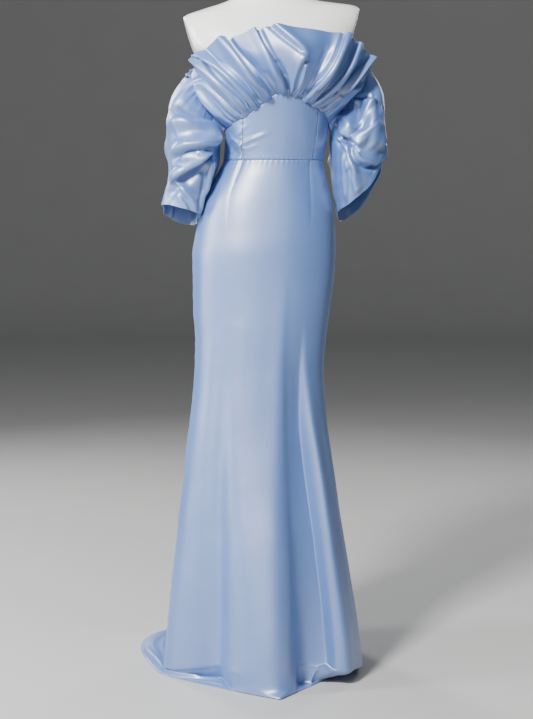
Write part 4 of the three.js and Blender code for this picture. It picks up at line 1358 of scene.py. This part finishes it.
studio = {
    "floor": (0.48, 0.48, 0.475, 1),
    "air": (0.82, 0.85, 0.90, 1),
    "airStrength": 0.16,
    "reach": 14,
    "cove": 4,
    "wallTop": 8,
    "floorBlur": 0.6,
}

# Lamps of the studio: where each stands and looks, its width and height, power and tint
lamps = {
    "key": ((-1.75, -2.9, 3.2), (0, 0, 0.85), (0.6, 0.8), 390, (1.0, 0.985, 0.965)),
    "front": ((-0.2, -3.4, 1.8), (0, 0, 0.8), (0.3, 1.6), 12, (1.0, 0.99, 0.98)),
    "side": ((-2.9, -0.6, 1.7), (0, 0, 0.9), (0.4, 1.8), 75, (0.97, 0.985, 1.0)),
    "rim_left": ((-1.6, 2.8, 2.3), (0, 0, 0.8), (0.6, 1.4), 75, (1.0, 1.0, 1.0)),
    "rim_right": ((1.8, 2.5, 2.2), (0, 0, 0.9), (0.4, 1.4), 30, (1.0, 1.0, 1.0)),
}

cameraFit = {
    "azimuth": -4.0,
    "pitch": 4.944,
    "distance": 3.6,
    "height": 1.0,
    "aside": -0.0165,
    "lens": 82.70,
}


# A round pale floor that curves up into a plain wall far behind every view
def makeFloor():
    bend = np.linspace(0, math.pi / 2, 14)
    flat = studio["reach"] - studio["cove"]
    out = np.concatenate([[0.0002, 1, 3, 6], flat + studio["cove"] * np.sin(bend)])
    out = np.append(out, studio["reach"])
    up = np.concatenate([[0, 0, 0, 0], studio["cove"] * (1 - np.cos(bend)), [studio["wallTop"]]])
    turns = np.linspace(0, 2 * math.pi, 96, endpoint=False)
    points = np.stack([
        out[:, None] * np.cos(turns), out[:, None] * np.sin(turns),
        np.repeat(up[:, None], len(turns), axis=1)], -1)
    mesh = bpy.data.meshes.new("floor")
    faces = gridFaces(len(out), len(turns), True)
    mesh.from_pydata(points.reshape(-1, 3).tolist(), [], faces.tolist())
    mesh.shade_smooth()
    material, tree, shader = newMaterial("floor_paint")
    grain = noiseNode(tree, "Object", 3.0, 3.0)
    tone = studio["floor"]
    darker = tuple(0.97 * value for value in tone[:3]) + (1,)
    tree.links.new(rampNode(tree, grain, darker, tone), shader.inputs["Base Color"])
    shader.inputs["Roughness"].default_value = studio["floorBlur"]
    mesh.materials.append(material)
    floor = bpy.data.objects.new("floor", mesh)
    bpy.context.scene.collection.objects.link(floor)


def makeAir():
    world = bpy.data.worlds.new("studio_air")
    bpy.context.scene.world = world
    world.use_nodes = True
    air = world.node_tree.nodes["Background"]
    air.inputs["Color"].default_value = studio["air"]
    air.inputs["Strength"].default_value = studio["airStrength"]


def makeLamp(name, place, aim, size, watts, tint):
    light = bpy.data.lights.new(name, "AREA")
    light.shape = "RECTANGLE"
    light.size = size[0]
    light.size_y = size[1]
    light.energy = watts
    light.color = tint
    lamp = bpy.data.objects.new(name, light)
    lamp.location = place
    lamp.rotation_euler = (Vector(aim) - Vector(place)).to_track_quat("-Z", "Y").to_euler()
    bpy.context.scene.collection.objects.link(lamp)


def makeCamera():
    turn = math.radians(cameraFit["azimuth"])
    ahead = Vector((-math.sin(turn), math.cos(turn), 0))
    aside = Vector((math.cos(turn), math.sin(turn), 0))
    pitch = math.radians(cameraFit["pitch"])
    place = -ahead * cameraFit["distance"] + aside * cameraFit["aside"]
    place.z = cameraFit["height"]
    look = ahead * math.cos(pitch) - Vector((0, 0, math.sin(pitch)))
    data = bpy.data.cameras.new("photo_camera")
    data.lens = cameraFit["lens"]
    data.sensor_width = 36
    data.clip_end = 100
    camera = bpy.data.objects.new("photo_camera", data)
    camera.location = place
    camera.rotation_euler = look.to_track_quat("-Z", "Y").to_euler()
    bpy.context.scene.collection.objects.link(camera)
    bpy.context.scene.camera = camera


makeFloor()
makeAir()
for name, (place, aim, size, watts, tint) in lamps.items():
    makeLamp(name, place, aim, size, watts, tint)
makeCamera()
print("studio made")
